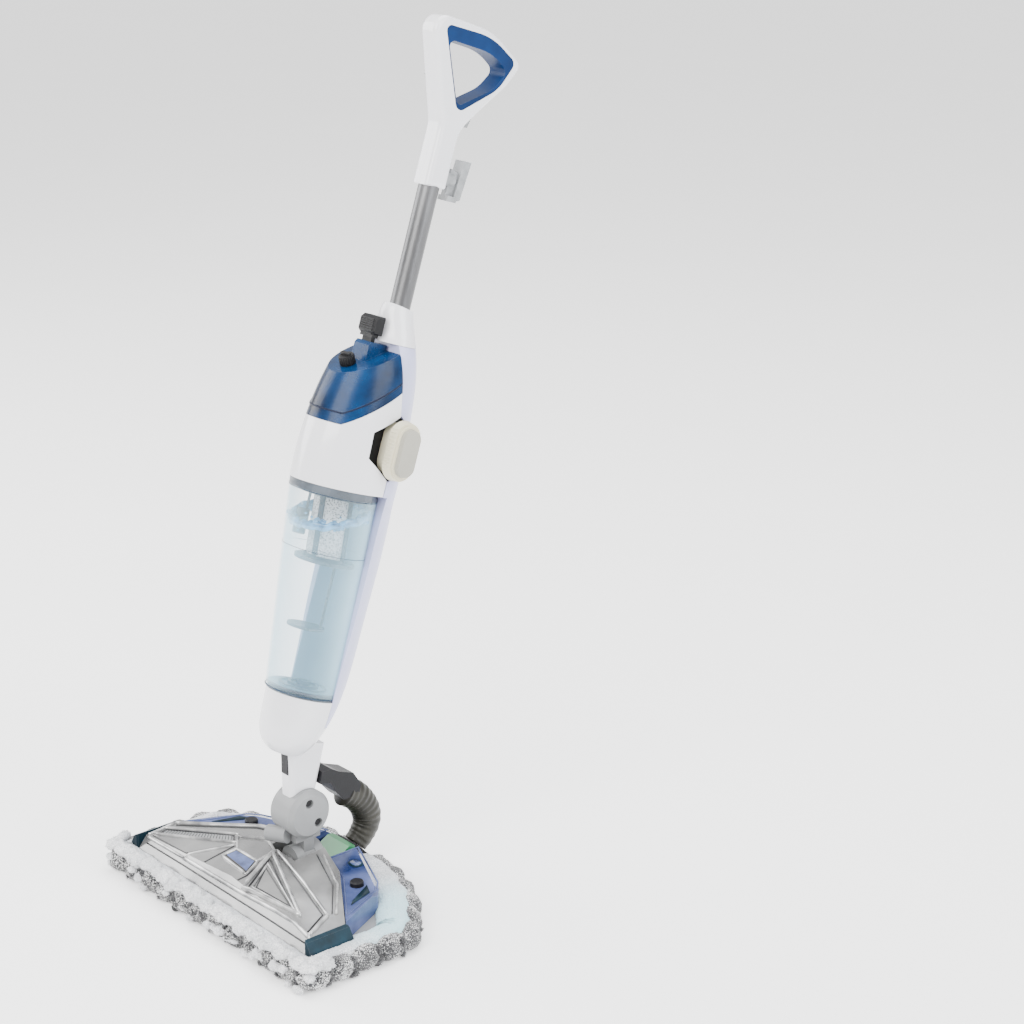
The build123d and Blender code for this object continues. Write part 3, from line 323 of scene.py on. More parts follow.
def meshCloth(name):
    # woven plastic mesh: pale threads, with dark square spots where the holes are, painted for the shaded inside seen
    # through them
    material = plastic(name, (0.60, 0.61, 0.62), rough=0.45, grain=0.4, edgeWearAndHighlight=0)
    tree = material.node_tree
    shader = tree.nodes["Principled BSDF"]
    place = tree.nodes.new("ShaderNodeTexCoord")
    holeShade = tree.nodes.new("ShaderNodeTexVoronoi")
    holeShade.inputs["Scale"].default_value = 520
    holeShade.inputs["Randomness"].default_value = 1.0
    link(tree, place.outputs["Object"], holeShade.inputs["Vector"])
    ramp = tree.nodes.new("ShaderNodeValToRGB")
    ramp.color_ramp.elements[0].position = 0.28
    ramp.color_ramp.elements[0].color = (0.07, 0.075, 0.08, 1)
    ramp.color_ramp.elements[1].position = 0.46
    ramp.color_ramp.elements[1].color = (0.60, 0.61, 0.62, 1)
    link(tree, holeShade.outputs["Distance"], ramp.inputs["Fac"])
    link(tree, ramp.outputs["Color"], shader.inputs["Base Color"])
    return material


finishes = {
    "grey_plastic": plastic("greyPlastic", (0.24, 0.245, 0.25), rough=0.42, tone=0.15, grain=0.25),
    "clear_silver": plastic("clearSilver", (0.37, 0.37, 0.365), rough=0.12, tone=0.2, toneSize=0.07, metal=0.45,
                            alpha=0.80, edgeAlpha=0.98, coat=0.6, edgeWearAndHighlight=0.7, dark=(0.23, 0.23, 0.235)),
    "slate_blue": plastic("slateBlue", (0.090, 0.115, 0.255), rough=0.16, tone=0.3, toneSize=0.05, alpha=0.97,
                          coat=0.2, dark=(0.016, 0.034, 0.125), edgeWearAndHighlight=0.3, gloss=0.3),
    "dark_plastic": plastic("darkPlastic", (0.008, 0.008, 0.010), rough=0.36, tone=0.2, grain=0.35, gloss=0.2),
    "teal_plastic": plastic("tealPlastic", (0.004, 0.020, 0.032), rough=0.38, tone=0.5, toneSize=0.02,
                            edgeWearAndHighlight=0.35, gloss=0.15),
    "steel": brushed("screwSteel", (0.42, 0.42, 0.43), 0.3),
    "green_plastic": plastic("pedalGreen", (0.03, 0.20, 0.075), rough=0.3, tone=0.2, coat=0.3),
    "dark_rubber": plastic("hoseRubber", (0.022, 0.021, 0.016), rough=0.4, tone=0.5, toneSize=0.02, grain=0.3,
                           edgeWearAndHighlight=0.2, gloss=0.3),
    "white_plastic": plastic("whitePlastic", (0.74, 0.74, 0.77), rough=0.16, tone=0.03, toneSize=0.12, grain=0.03,
                             coat=0.5, edgeWearAndHighlight=0.05),
    "cast_metal": brushed("castMetal", (0.5, 0.5, 0.51), 0.5),
    "lavender_plastic": plastic("lavenderPlastic", (0.47, 0.48, 0.70), rough=0.3, tone=0.06, toneSize=0.03,
                                grain=0.08, coat=0.2, edgeWearAndHighlight=0.1),
    "board": plastic("boardGreen", (0.03, 0.18, 0.08), rough=0.5),
    "tube_metal": brushed("tubeMetal", (0.15, 0.15, 0.155), 0.34),
    "blue_grip": plastic("blueGrip", (0.0006, 0.020, 0.085), rough=0.42, tone=0.3, toneSize=0.03, grain=0.08,
                         edgeWearAndHighlight=0.1, gloss=0.15),
    "cream_plastic": plastic("creamPlastic", (0.63, 0.59, 0.44), rough=0.34, tone=0.06, grain=0.15),
    "beige_plastic": plastic("beigePlastic", (0.33, 0.32, 0.27), rough=0.4, tone=0.08, grain=0.2),
    # the jar glows faintly by itself: painted light that brightens it
    "clear_plastic": plastic("clearPlastic", (0.60, 0.84, 0.95), rough=0.04, tone=0.04, grain=0.02, alpha=0.03,
                             edgeAlpha=0.55, edgeWearAndHighlight=0, gloss=0.4, selfGlow=0.12),
    "grey_rim": plastic("greyRim", (0.10, 0.12, 0.145), rough=0.25, tone=0.3, toneSize=0.02, alpha=0.80, gloss=0.4),
    "mesh": meshCloth("filterWeave"),
    "blue_clear": plastic("blueClear", (0.0005, 0.026, 0.090), rough=0.24, tone=0.45, toneSize=0.04, grain=0.03,
                          alpha=0.90, edgeAlpha=0.98, dark=(0.0002, 0.007, 0.030), edgeWearAndHighlight=0.25, gloss=0.25),
    "light_grey": plastic("lightGreyPlastic", (0.30, 0.31, 0.32), rough=0.3, tone=0.2, toneSize=0.01, alpha=0.94,
                          gloss=0.3, edgeWearAndHighlight=0.3),
}
# the pale-cyan patch at the right end of the border is painted light
fleeceWhite = terry("fleeceWhite", (0.80, 0.81, 0.83), (0.50, 0.52, 0.55), share=0.62,
                    glow={"place": (0.160, 0.010, 0.032), "reach": 0.090, "color": (0.48, 0.84, 0.93)})
terryGrey = terry("terryGrey", (0.80, 0.80, 0.80), (0.035, 0.035, 0.038), share=0.50)
tuftWhite = terry("tuftWhite", (0.86, 0.86, 0.87), (0.60, 0.61, 0.63), share=0.62)
padBlueGrey = terry("padBacking", (0.62, 0.66, 0.70), (0.34, 0.36, 0.39), share=0.5)
# the water glows by itself: painted light that brightens the water seen through the jar
waterBlue = plastic("waterBlue", (0.42, 0.78, 1.0), rough=0.03, tone=0.10, toneSize=0.02, alpha=0.10, edgeAlpha=0.20,
                    edgeWearAndHighlight=0, selfGlow=1.5)
# the lighter edges of the drops are a painted highlight
splashBlue = plastic("splashBlue", (0.16, 0.46, 0.76), rough=0.05, tone=0.4, toneSize=0.008, alpha=0.80,
                     edgeAlpha=0.98, coat=1.0, edgeWearAndHighlight=0.7, dark=(0.03, 0.20, 0.46))
seamDark = plastic("seamDark", (0.001, 0.004, 0.020), rough=0.4, tone=0.2, gloss=0.2)
# near-black terry for the painted shadow between the scallops
gapShadowTerry = terry("gapShadowTerry", (0.07, 0.07, 0.075), (0.012, 0.012, 0.014), share=0.5)
jarLine = plastic("jarLine", (0.010, 0.030, 0.065), rough=0.2, tone=0.3)
clearRib = plastic("clearRib", (0.58, 0.58, 0.575), rough=0.08, tone=0.3, toneSize=0.02, metal=0.5, coat=0.6, edgeWearAndHighlight=0.4,
                   dark=(0.26, 0.26, 0.265))
ribShadow = plastic("ribShadow", (0.020, 0.020, 0.022), rough=0.3, tone=0.3)
windowBlue = plastic("windowBlue", (0.085, 0.125, 0.30), rough=0.12, tone=0.3, toneSize=0.02, coat=0.6,
                     dark=(0.04, 0.06, 0.16))
navy = plastic("elbowNavy", (0.008, 0.014, 0.05), rough=0.3, tone=0.2, coat=0.4)
charcoal = plastic("charcoal", (0.008, 0.008, 0.009), rough=0.4, tone=0.25, grain=0.3, gloss=0.2, edgeWearAndHighlight=0.08)
print("materials made", len(bpy.data.materials))


def paintNodes():
    slots = {s["node"]: s["material_slot"] for s in frame["record"]["subparts"]}
    for name, node in frame["nodes"].items():
        material = finishes.get(slots.get(name), finishes["grey_plastic"])
        node.data.materials.clear()
        node.data.materials.append(material)
    for name in ("dial_well", "tank_latch", "fill_cap"):
        frame["nodes"][name].data.materials[0] = charcoal
    frame["nodes"]["hook_mount"].data.materials[0] = finishes["light_grey"]
    frame["nodes"]["jar_floor"].data.materials[0] = navy
    frame["nodes"]["barrel_screws"].data.materials[0] = charcoal
    print("nodes painted", len(frame["nodes"]))


pad = {"halfWidth": 196, "front": -134, "sideEnd": 8, "rearWidth": 128, "rearSide": 60, "tailWidth": 62, "rear": 84,
       "step": 1.6, "seed": 7}  # millimetres, outline of the flat pad
fringe = {"scallop": 34, "around": 20, "middle": -1.5, "reach": 3.4, "bulge": 9.6, "height": 15.0, "tall": 8.2,
          "tallBulge": 6.4, "loops": 15000, "loopLength": 0.0036}
tufts = {"count": 165, "fuzz": 9000, "fuzzLength": 0.0016, "frontEdge": -110}
# dark lumps of painted shadow, low between the scallops
valley = {"lumps": 4, "low": 5, "rise": 5.5, "fuzz": 3500, "fuzzLength": 0.0018}
border = {"around": 26, "span": 8.5, "sideSpan": 6.5, "rearSpan": 5.0, "height": 21.5, "tall": 10.0, "nap": 14000,
          "napLength": 0.0017}
hoseGap = {"half": 24, "fringeTop": 12.4, "borderTop": 13.4}  # the pad is pressed flat under the hose


def padPath(reach, rounding=14):
    # evenly spaced points round the pad, in millimetres, with the outward direction at each
    corners = [
        (pad["halfWidth"] + reach, pad["front"] - reach), (pad["halfWidth"] + reach, pad["sideEnd"] + reach * 0.4),
        (pad["rearWidth"] + reach * 0.5, pad["rearSide"] + reach * 0.6),
        (pad["tailWidth"], pad["rear"] + reach * 0.5),
    ]
    corners += [(-x, y) for x, y in reversed(corners)]
    points = []
    count = len(corners)
    for i in range(count):
        a, b, c = (Vector(corners[(i + k) % count]) for k in (-1, 0, 1))
        inward, outward = (a - b).normalized(), (c - b).normalized()
        cut = min(rounding, (a - b).length * 0.45, (c - b).length * 0.45)
        for k in range(9):
            t = k / 8
            points.append((b + inward * cut) * (1 - t) ** 2 + b * 2 * t * (1 - t) + (b + outward * cut) * t ** 2)
    size = len(points)
    total = sum((points[(i + 1) % size] - points[i]).length for i in range(size))
    steps = int(total / pad["step"])
    out, index, walked = [], 0, 0.0
    for k in range(steps):
        target = total * k / steps
        while walked + (points[(index + 1) % size] - points[index % size]).length < target:
            walked += (points[(index + 1) % size] - points[index % size]).length
            index += 1
        a, b = points[index % size], points[(index + 1) % size]
        share = (target - walked) / max((b - a).length, 1e-6)
        ahead = (b - a).normalized()
        out.append((a.lerp(b, share), Vector((ahead.y, -ahead.x)), target))
    return out, total


def wobble(x, y, z, size, seed):
    return noise.noise(Vector((x / size + seed, y / size - seed, z / size + 2 * seed)))


def makeFringe():
    # the looped band that hangs round the pad, gathered into scallops
    path, total = padPath(0)
    scallops = round(total / fringe["scallop"])
    around = fringe["around"]
    verts = []
    for point, out, distance in path:
        phase = math.pi * scallops * distance / total
        bulge = abs(math.sin(phase)) ** 0.55
        front = max(0.0, min(1.0, (-60 - point.y) / 50))
        for j in range(around):
            turn = 2 * math.pi * j / around
            reach = fringe["middle"] + (fringe["reach"] + fringe["bulge"] * bulge) * math.cos(turn)
            height = fringe["height"] + (fringe["tall"] + fringe["tallBulge"] * bulge) * math.sin(turn)
            rough = wobble(point.x, point.y, height, 11, 3) * (2.2 + 3.4 * front)
            rough = rough + wobble(point.x, point.y, height, 4, 9) * 1.1
            reach += rough * max(0.0, math.cos(turn) + 0.4)
            place = point + out * reach
            if abs(place.x) < hoseGap["half"] and place.y > 60:
                height = min(height, hoseGap["fringeTop"])
            verts.append(Vector((place.x, place.y, max(0.2, height + rough * 0.5))) / 1000)
    return verts, ringFaces(len(path), around, closedAlong=True)


def fibreCoat(verts, faces, count, length, seed, keep=None):
    # short pointed loops of yarn standing on a surface
    rng = random.Random(seed)
    areas, data = [], []
    for face in faces:
        a, b, c = verts[face[0]], verts[face[1]], verts[face[2]]
        normal = (b - a).cross(c - a)
        areas.append(normal.length)
        data.append((face, normal.normalized() if normal.length > 0 else Vector((0, 0, 1))))
    picked = rng.choices(range(len(faces)), weights=areas, k=count)
    outVerts, outFaces = [], []
    for k in picked:
        face, normal = data[k]
        spread = [rng.random() for _ in face]
        size = sum(spread)
        root = sum((verts[v] * (w / size) for v, w in zip(face, spread)), Vector())
        if root.z < 0.0015 or (keep and not keep(root)):
            continue
        lean = Vector((rng.uniform(-1, 1), rng.uniform(-1, 1), rng.uniform(-1.1, 0.5)))
        tip = (normal + lean * 0.55).normalized()
        side = tip.orthogonal().normalized()
        other = tip.cross(side)
        tall = length * rng.uniform(0.6, 1.25)
        wide = length * rng.uniform(0.16, 0.24)
        start = len(outVerts)
        for j in range(4):
            turn = math.pi * j / 2
            outVerts.append(root - tip * 0.0005 + (side * math.cos(turn) + other * math.sin(turn)) * wide)
        for j in range(4):
            turn = math.pi * j / 2 + 0.4
            outVerts.append(root + tip * tall * 0.7 + (side * math.cos(turn) + other * math.sin(turn)) * wide * 0.9)
        head = root + tip * tall
        head.z = max(head.z, 0.0004)
        outVerts.append(head)
        for v in outVerts[start:]:
            v.z = max(v.z, 0.0003)
        for j in range(4):
            n = (j + 1) % 4
            outFaces.append((start + j, start + n, start + 4 + n, start + 4 + j))
            outFaces.append((start + 4 + j, start + 4 + n, start + 8))
        outFaces.append((start + 3, start + 2, start + 1, start))
    return outVerts, outFaces


def lump(centre, size, rng):
    # one soft white tuft: a ball pushed about by noise
    ball = bmesh.new()
    bmesh.ops.create_icosphere(ball, subdivisions=3, radius=1)
    seed = rng.uniform(0, 50)
    stretch = Vector((rng.uniform(0.85, 1.35), rng.uniform(0.85, 1.2), rng.uniform(0.7, 0.95)))
    verts = []
    for v in ball.verts:
        p = v.co.copy()
        p *= 1 + 0.28 * noise.noise(p * 1.7 + Vector((seed, 0, 0))) + 0.10 * noise.noise(p * 5 + Vector((0, seed, 0)))
        place = centre + Vector((p.x * stretch.x, p.y * stretch.y, p.z * stretch.z)) * size
        place.z = max(place.z, 0.0004)
        verts.append(place)
    faces = [tuple(v.index for v in f.verts) for f in ball.faces]
    ball.free()
    return verts, faces


def makeYarn():
    verts, faces = makeFringe()
    band = addPiece("chenilleFringe", verts, faces, terryGrey, "head", slot="chenille")
    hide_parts("pad_fringe")
    coat = fibreCoat(verts, faces, fringe["loops"], fringe["loopLength"], pad["seed"], keep=lambda p: p.z > 0.002)
    addPiece("chenilleLoops", *coat, terryGrey, "head", slot="chenille")
    # white tufts along the front edge and a few lower down
    rng = random.Random(pad["seed"] + 4)
    path, total = padPath(2)
    front = [p for p in path if p[0].y < tufts["frontEdge"]]
    lumps = []
    for k in range(tufts["count"]):
        point, out, _ = front[int(k * len(front) / tufts["count"]) % len(front)]
        high = k % 3 != 2
        reach = rng.uniform(-4, 3) if high else rng.uniform(5, 9)
        place = point + out * reach
        height = rng.uniform(27, 34) if high else rng.uniform(5, 22)
        size = rng.uniform(0.0052, 0.0088) if high else rng.uniform(0.004, 0.0066)
        if not high and rng.random() < 0.45:
            continue
        lumps.append(lump(Vector((place.x, place.y, height)) / 1000, size, rng))
    # dark lumps low down between the scallops: painted shadow in the gaps
    valleys = []
    scallops = round(total / fringe["scallop"])
    for k in range(scallops):
        for step in range(valley["lumps"]):
            point, out, _ = path[int((k + 0.03 * (step % 2)) * len(path) / scallops) % len(path)]
            if point.y > 70 and abs(point.x) < 30:
                continue
            place = point + out * rng.uniform(0.5, 3.5)
            height = valley["low"] + valley["rise"] * step + rng.uniform(-1, 1)
            valleys.append(lump(Vector((place.x, place.y, height)) / 1000, rng.uniform(0.0042, 0.0062), rng))
    yarn = joined(valleys)
    addPiece("valleyShadowYarn", *yarn, gapShadowTerry, "head", slot="chenille")
    fuzz = fibreCoat(*yarn, valley["fuzz"], valley["fuzzLength"], 51)
    addPiece("valleyShadowFuzz", *fuzz, gapShadowTerry, "head", slot="chenille")
    yarn = joined(lumps)
    addPiece("whiteTufts", *yarn, tuftWhite, "head", slot="fleece")
    fuzz = fibreCoat(*yarn, tufts["fuzz"], tufts["fuzzLength"], 31)
    addPiece("tuftFuzz", *fuzz, tuftWhite, "head", slot="fleece")
    print("yarn made")


def makeBorder():
    # the puffed white border inside the fringe
    path, _ = padPath(-2, rounding=18)
    around = border["around"]
    verts = []
    for point, out, _ in path:
        rearward = max(0.0, out.y)
        sideways = max(0.0, 1 - max(0.0, -out.y) * 1.3)
        span = border["span"] + border["sideSpan"] * sideways + border["rearSpan"] * rearward
        for j in range(around):
            turn = 2 * math.pi * j / around
            puff = 1 + 0.10 * wobble(point.x, point.y, 0, 22, 5) + 0.05 * wobble(point.x, point.y, j * 3, 6, 8)
            flat = math.copysign(abs(math.cos(turn)) ** 0.8, math.cos(turn))
            place = point + out * (span * flat * puff - span)
            height = border["height"] + (border["tall"] + 1.2 * flat) * math.sin(turn) * puff
            if abs(place.x) < hoseGap["half"] and place.y > 55:
                height = hoseGap["borderTop"] + (height - hoseGap["borderTop"]) * 0.12
            verts.append(Vector((place.x, place.y, height)) / 1000)
    faces = ringFaces(len(path), around, closedAlong=True)
    roll = addPiece("fleeceBorder", verts, faces, fleeceWhite, "head", slot="fleece")
    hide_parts("pad_border")
    nap = fibreCoat(verts, faces, border["nap"], border["napLength"], 12, keep=lambda p: p.z > 0.02)
    addPiece("fleeceNap", *nap, fleeceWhite, "head", slot="fleece")
    print("border made")


def makePadCore():
    # the flat pad under the head, from its floor side up: reach and height of each ring
    layers = [(-3.0, 0.3), (-0.6, 1.6), (0.0, 4.5), (0.0, 9.0), (-1.0, 12.0), (-4.0, 12.9)]
    base, count = [], 0
    for reach, height in layers:
        ring, _ = padPath(0, rounding=14)
        count = len(ring)
        for point, out, _ in ring:
            place = point + out * (reach - 0.6)
            base.append(Vector((place.x, place.y, height)) / 1000)
    padFaces = ringFaces(len(layers), count)
    bottom = addPiece("mopPadCore", base, padFaces, padBlueGrey, "head", slot="fleece")
    applied(bottom, ("TRIANGULATE", {}))
    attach(bottom, "head")
    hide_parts("mop_pad")
    print("pad core made")


# the cover's upper face, and the steeper bar along its front, in millimetres
cover = {"peak": 59.86, "fallAcross": 0.04846, "riseBack": 0.0930, "front": -117, "barFoot": 27, "barRise": 1.25}


def onCover(x, y, lift=0.0):
    face = cover["peak"] - cover["fallAcross"] * abs(x) + cover["riseBack"] * y
    bar = cover["barFoot"] + cover["barRise"] * (y - cover["front"])
    return Vector((x, y, min(face, bar) + lift)) / 1000


def beam(points, wide, tall, lift=0.0, closed=False):
    # rounded bar that follows points on the cover
    path = []
    count = len(points)
    spans = count if closed else count - 1
    for i in range(spans):
        a, b = Vector(points[i]), Vector(points[(i + 1) % count])
        steps = max(2, int((b - a).length / 6))
        for k in range(steps):
            p = a.lerp(b, k / steps)
            path.append(onCover(p.x, p.y, lift))
    if not closed:
        p = points[-1]
        path.append(onCover(p[0], p[1], lift))
    around = 8
    verts = []
    total = len(path)
    for i, point in enumerate(path):
        after = path[(i + 1) % total] if closed or i < total - 1 else point
        before = path[i - 1] if closed or i > 0 else point
        ahead = (after - before).normalized()
        over = Vector((0.05, -0.09, 1)).normalized()
        across = ahead.cross(over).normalized()
        for j in range(around):
            turn = 2 * math.pi * (j + 0.5) / around
            verts.append(point + across * (wide / 2000 * math.cos(turn)) + over * (tall / 1000 * math.sin(turn)))
    return verts, ringFaces(total, around, closedAlong=closed)


def panel(points, lift, thick=0.8):
    top = [onCover(x, y, lift + thick) for x, y in points]
    low = [onCover(x, y, lift) for x, y in points]
    n = len(points)
    faces = [tuple(range(n)), tuple(reversed(range(n, 2 * n)))]
    faces += [(i, n + i, n + (i + 1) % n, (i + 1) % n) for i in range(n)]
    return top + low, faces


slatCount = 24  # dark lines across the long window: painted shade in the gaps between its slats


def makeCoverDetail():
    # each beam is a list of places, its width and its height in millimetres
    ribs, shadows, windows, slats = [], [], [], []
    # long left ridge and the slot window under it
    ribs += [beam([(-163, -66), (-128, -44), (-72, -6), (-34, 6)], 5.2, 3.2),
             beam([(-160, -98), (-164, -82), (-77, -35), (-61, -48)], 3.6, 2.6, closed=True),
             beam([(-164, -106), (-86, -105), (-57, -52)], 3.4, 2.4),
             beam([(-164, -104), (-164, -68)], 3.4, 2.2),
             beam([(-86, -105), (29, -104), (128, -101), (164, -106)], 5.0, 3.2)]
    shadows += [beam([(-158, -69), (-126, -48), (-72, -11), (-38, 1)], 2.2, 1.4),
                beam([(-155, -95), (-158, -83), (-78, -40), (-66, -49)], 1.5, 1.6, closed=True),
                beam([(-158, -101.5), (-88, -101), (-62, -54)], 1.6, 1.1)]
    slats.append(panel([(-154, -93), (-156, -85), (-79, -42), (-68, -49)], 0.3, 0.6))
    for k in range(slatCount):
        t = (k + 0.5) / slatCount
        a = Vector((-157, -84)).lerp(Vector((-79, -41)), t)
        b = Vector((-154, -94)).lerp(Vector((-67, -50)), t)
        shadows.append(beam([(a.x, a.y), (b.x, b.y)], 1.2, 1.6))
    # raised block behind the middle and the blue window in front of it
    ribs += [beam([(-73, -39), (-46, -58), (-3, -60), (-6, -32), (-40, -20)], 3.4, 3.0, closed=True),
             beam([(-47, -78), (-47, -57), (-2, -59), (11, -85)], 3.4, 3.0, closed=True)]
    windows.append(panel([(-44, -74), (-44, -60), (-5, -61.5), (6, -81)], 0.6, 0.9))
    shadows += [beam([(-52, -100), (-57, -52)], 1.8, 1.2), beam([(13, -98), (13, -86), (-6, -32)], 1.8, 1.4),
                beam([(-44, -74), (-44, -60), (-5, -61.5), (6, -81)], 1.2, 1.8, closed=True)]
    # big triangle with a second one inside it
    ribs += [beam([(-6, -36), (29, -101), (121, -89)], 5.4, 4.6, closed=True),
             beam([(10.5, -54), (38, -95), (110, -88)], 2.6, 3.0, closed=True)]
    shadows += [beam([(3, -46), (34, -98), (116, -91)], 2.0, 2.0, closed=True),
                beam([(15, -60), (40, -91), (98, -86)], 1.4, 1.4, closed=True)]
    # band that runs to the right end
    ribs += [beam([(-5, -30), (70, -47), (142, -67), (158, -104)], 4.4, 3.4),
             beam([(40, 3), (100, -22), (146, -58)], 3.2, 2.4)]
    shadows += [beam([(4, -34), (72, -52), (137, -70), (152, -102)], 1.8, 1.6),
                beam([(34, -2), (98, -27), (142, -61)], 1.5, 1.2),
                beam([(-158, -110), (-84, -109.5), (0, -109.5), (84, -109.5), (158, -110)], 1.8, 1.2)]
    addPiece("coverRibs", *joined(ribs), clearRib, "head", slot="clear_silver")
    # painted shadow lines beside the ribs, round the windows and in the gaps of the long window
    addPiece("coverShadowLines", *joined(shadows), ribShadow, "head", slot="dark_plastic")
    addPiece("coverWindow", *joined(windows), windowBlue, "head", smooth=False, slot="slate_blue")
    addPiece("coverSlats", *joined(slats), finishes["grey_plastic"], "head", smooth=False, slot="grey_plastic")
    print("cover detail made")


tray = {
    "outline": [(30, 20), (80, 1), (154, -50), (128, 12), (114, 24), (30, 60)],
    "wedge": [(132, -26), (138, -32), (128, 2), (112, 10)],
    "catch": (62, 32), "catchSizes": ((11, 1.4), (8, 2.2)), "rimWide": 0.0012, "rimTall": 0.0009,
}


def makeTrayDetail():
    rims, marks, glints = [], [], []
    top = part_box("rear_tray_right")[1].z * 1000
    for side in (-1, 1):
        pts = [Vector((side * x, y, top + 0.2)) / 1000 for x, y in tray["outline"]]
        path = []
        for i in range(len(pts)):
            a, b = pts[i], pts[(i + 1) % len(pts)]
            path += [a.lerp(b, k / 8) for k in range(8)]
        verts = []
        around = 8
        for i, p in enumerate(path):
            ahead = (path[(i + 1) % len(path)] - path[i - 1]).normalized()
            across = ahead.cross(Vector((0, 0, 1))).normalized()
            for j in range(around):
                turn = 2 * math.pi * j / around
                rise = Vector((0, 0, tray["rimTall"] * math.sin(turn)))
                verts.append(p + across * tray["rimWide"] * math.cos(turn) + rise)
        rims.append((verts, ringFaces(len(path), around, closedAlong=True)))
        # rounded catch whose paler middle is a painted glint, and a dark wedge by the cover
        for (size, height), group in zip(tray["catchSizes"], (marks, glints)):
            ring = []
            for k in range(28):
                turn = 2 * math.pi * k / 28
                squareness = 1 / max(abs(math.cos(turn)), abs(math.sin(turn))) ** 0.45
                ring.append(Vector((side * tray["catch"][0] + size * 0.8 * math.cos(turn) * squareness,
                                    tray["catch"][1] + size * 0.62 * math.sin(turn) * squareness, top)) / 1000)
            up = Vector((0, 0, height / 1000))
            group.append((ring + [p + up for p in ring], ringFaces(2, 28)))
        wedge = [Vector((side * x, y, top + 0.1)) / 1000 for x, y in tray["wedge"]]
        lift = Vector((0, 0, 0.0008))
        marks.append(block(wedge + [p + lift for p in wedge]))
    addPiece("trayRims", *joined(rims), finishes["slate_blue"], "head", slot="slate_blue")
    addPiece("trayMarks", *joined(marks), finishes["teal_plastic"], "head", slot="teal_plastic")
    addPiece("trayCatchGlints", *joined(glints), windowBlue, "head", slot="slate_blue")
    print("tray detail made")


hose = {
    "wide": 0.0155, "deep": 0.0175, "rib": 0.0006, "pitch": 0.0075, "steps": 26, "slimming": 0.16,
    "route": [(0, 0.0640, 0.1065), (0, 0.0800, 0.0955), (0, 0.0930, 0.0765), (0, 0.0955, 0.0590),
              (0, 0.0880, 0.0445), (0, 0.0778, 0.0345)],
}


def smoothPath(points, steps):
    # a curve through the given points
    pts = [Vector(p) for p in points]
    pts = [pts[0] * 2 - pts[1]] + pts + [pts[-1] * 2 - pts[-2]]
    out = []
    for i in range(1, len(pts) - 2):
        for k in range(steps):
            t = k / steps
            a, b, c, d = pts[i - 1:i + 3]
            out.append(0.5 * ((2 * b) + (c - a) * t + (2 * a - 5 * b + 4 * c - d) * t ** 2
                              + (3 * b - a - 3 * c + d) * t ** 3))
    out.append(pts[-2])
    return out


def ribbedTube(path, name, body):
    length, sizes = 0.0, []
    for i, p in enumerate(path):
        if i:
            length += (p - path[i - 1]).length
        share = i / (len(path) - 1)
        swell = hose["rib"] * (0.5 + 0.5 * math.cos(2 * math.pi * length / hose["pitch"]))
        slim = 1 - hose["slimming"] * share if name == "hoseLower" else 1  # narrows into its socket
        sizes.append(((hose["wide"] + swell) * slim, (hose["deep"] + swell) * slim))
    verts, faces = tube(path, sizes, around=28, side=Vector((1, 0, 0)))
    return addPiece(name, verts, faces, finishes["dark_rubber"], body, slot="dark_rubber")


def makeHose():
    route = smoothPath(hose["route"], hose["steps"])
    half = len(route) // 2
    upper = ribbedTube(route[:half + 1], "hoseUpper", None)
    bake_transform(upper)
    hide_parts("suction_hose")
    lower = ribbedTube(route[half:], "hoseLower", None)
    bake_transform(lower)
    print("hose made")


# low and high: height up the body, radius and middle of the jar in millimetres; level: the water's height in metres
jar = {"low": (141, 41.8, -39.6), "high": (381, 50.5, -63.2), "level": 0.4500, "gapToWall": 2.5,
       "lines": ((142.2, 0.0009), (371.2, 0.0005), (306.0, 0.00028)), "drops": 120, "seed": 21}


def jarAt(up, grow=0.0):
    share = (up - jar["low"][0]) / (jar["high"][0] - jar["low"][0])
    radius = jar["low"][1] + share * (jar["high"][1] - jar["low"][1]) + grow
    centre = jar["low"][2] + share * (jar["high"][2] - jar["low"][2])
    return radius, centre


def jarRing(up, grow, around=64):
    radius, centre = jarAt(up, grow)
    return [bodyPoint(radius * math.cos(2 * math.pi * j / around),
                      centre + radius * math.sin(2 * math.pi * j / around), up) for j in range(around)]


def levelRing(height, grow, around=64):
    # where a level surface meets the jar's wall
    ring = []
    for j in range(around):
        turn = 2 * math.pi * j / around
        lowUp, highUp = float(jar["low"][0]), float(jar["high"][0])
        for _ in range(30):
            up = (lowUp + highUp) / 2
            radius, centre = jarAt(up, grow)
            point = bodyPoint(radius * math.cos(turn), centre + radius * math.sin(turn), up)
            if point.z < height:
                lowUp = up
            else:
                highUp = up
        ring.append(point)
    return ring


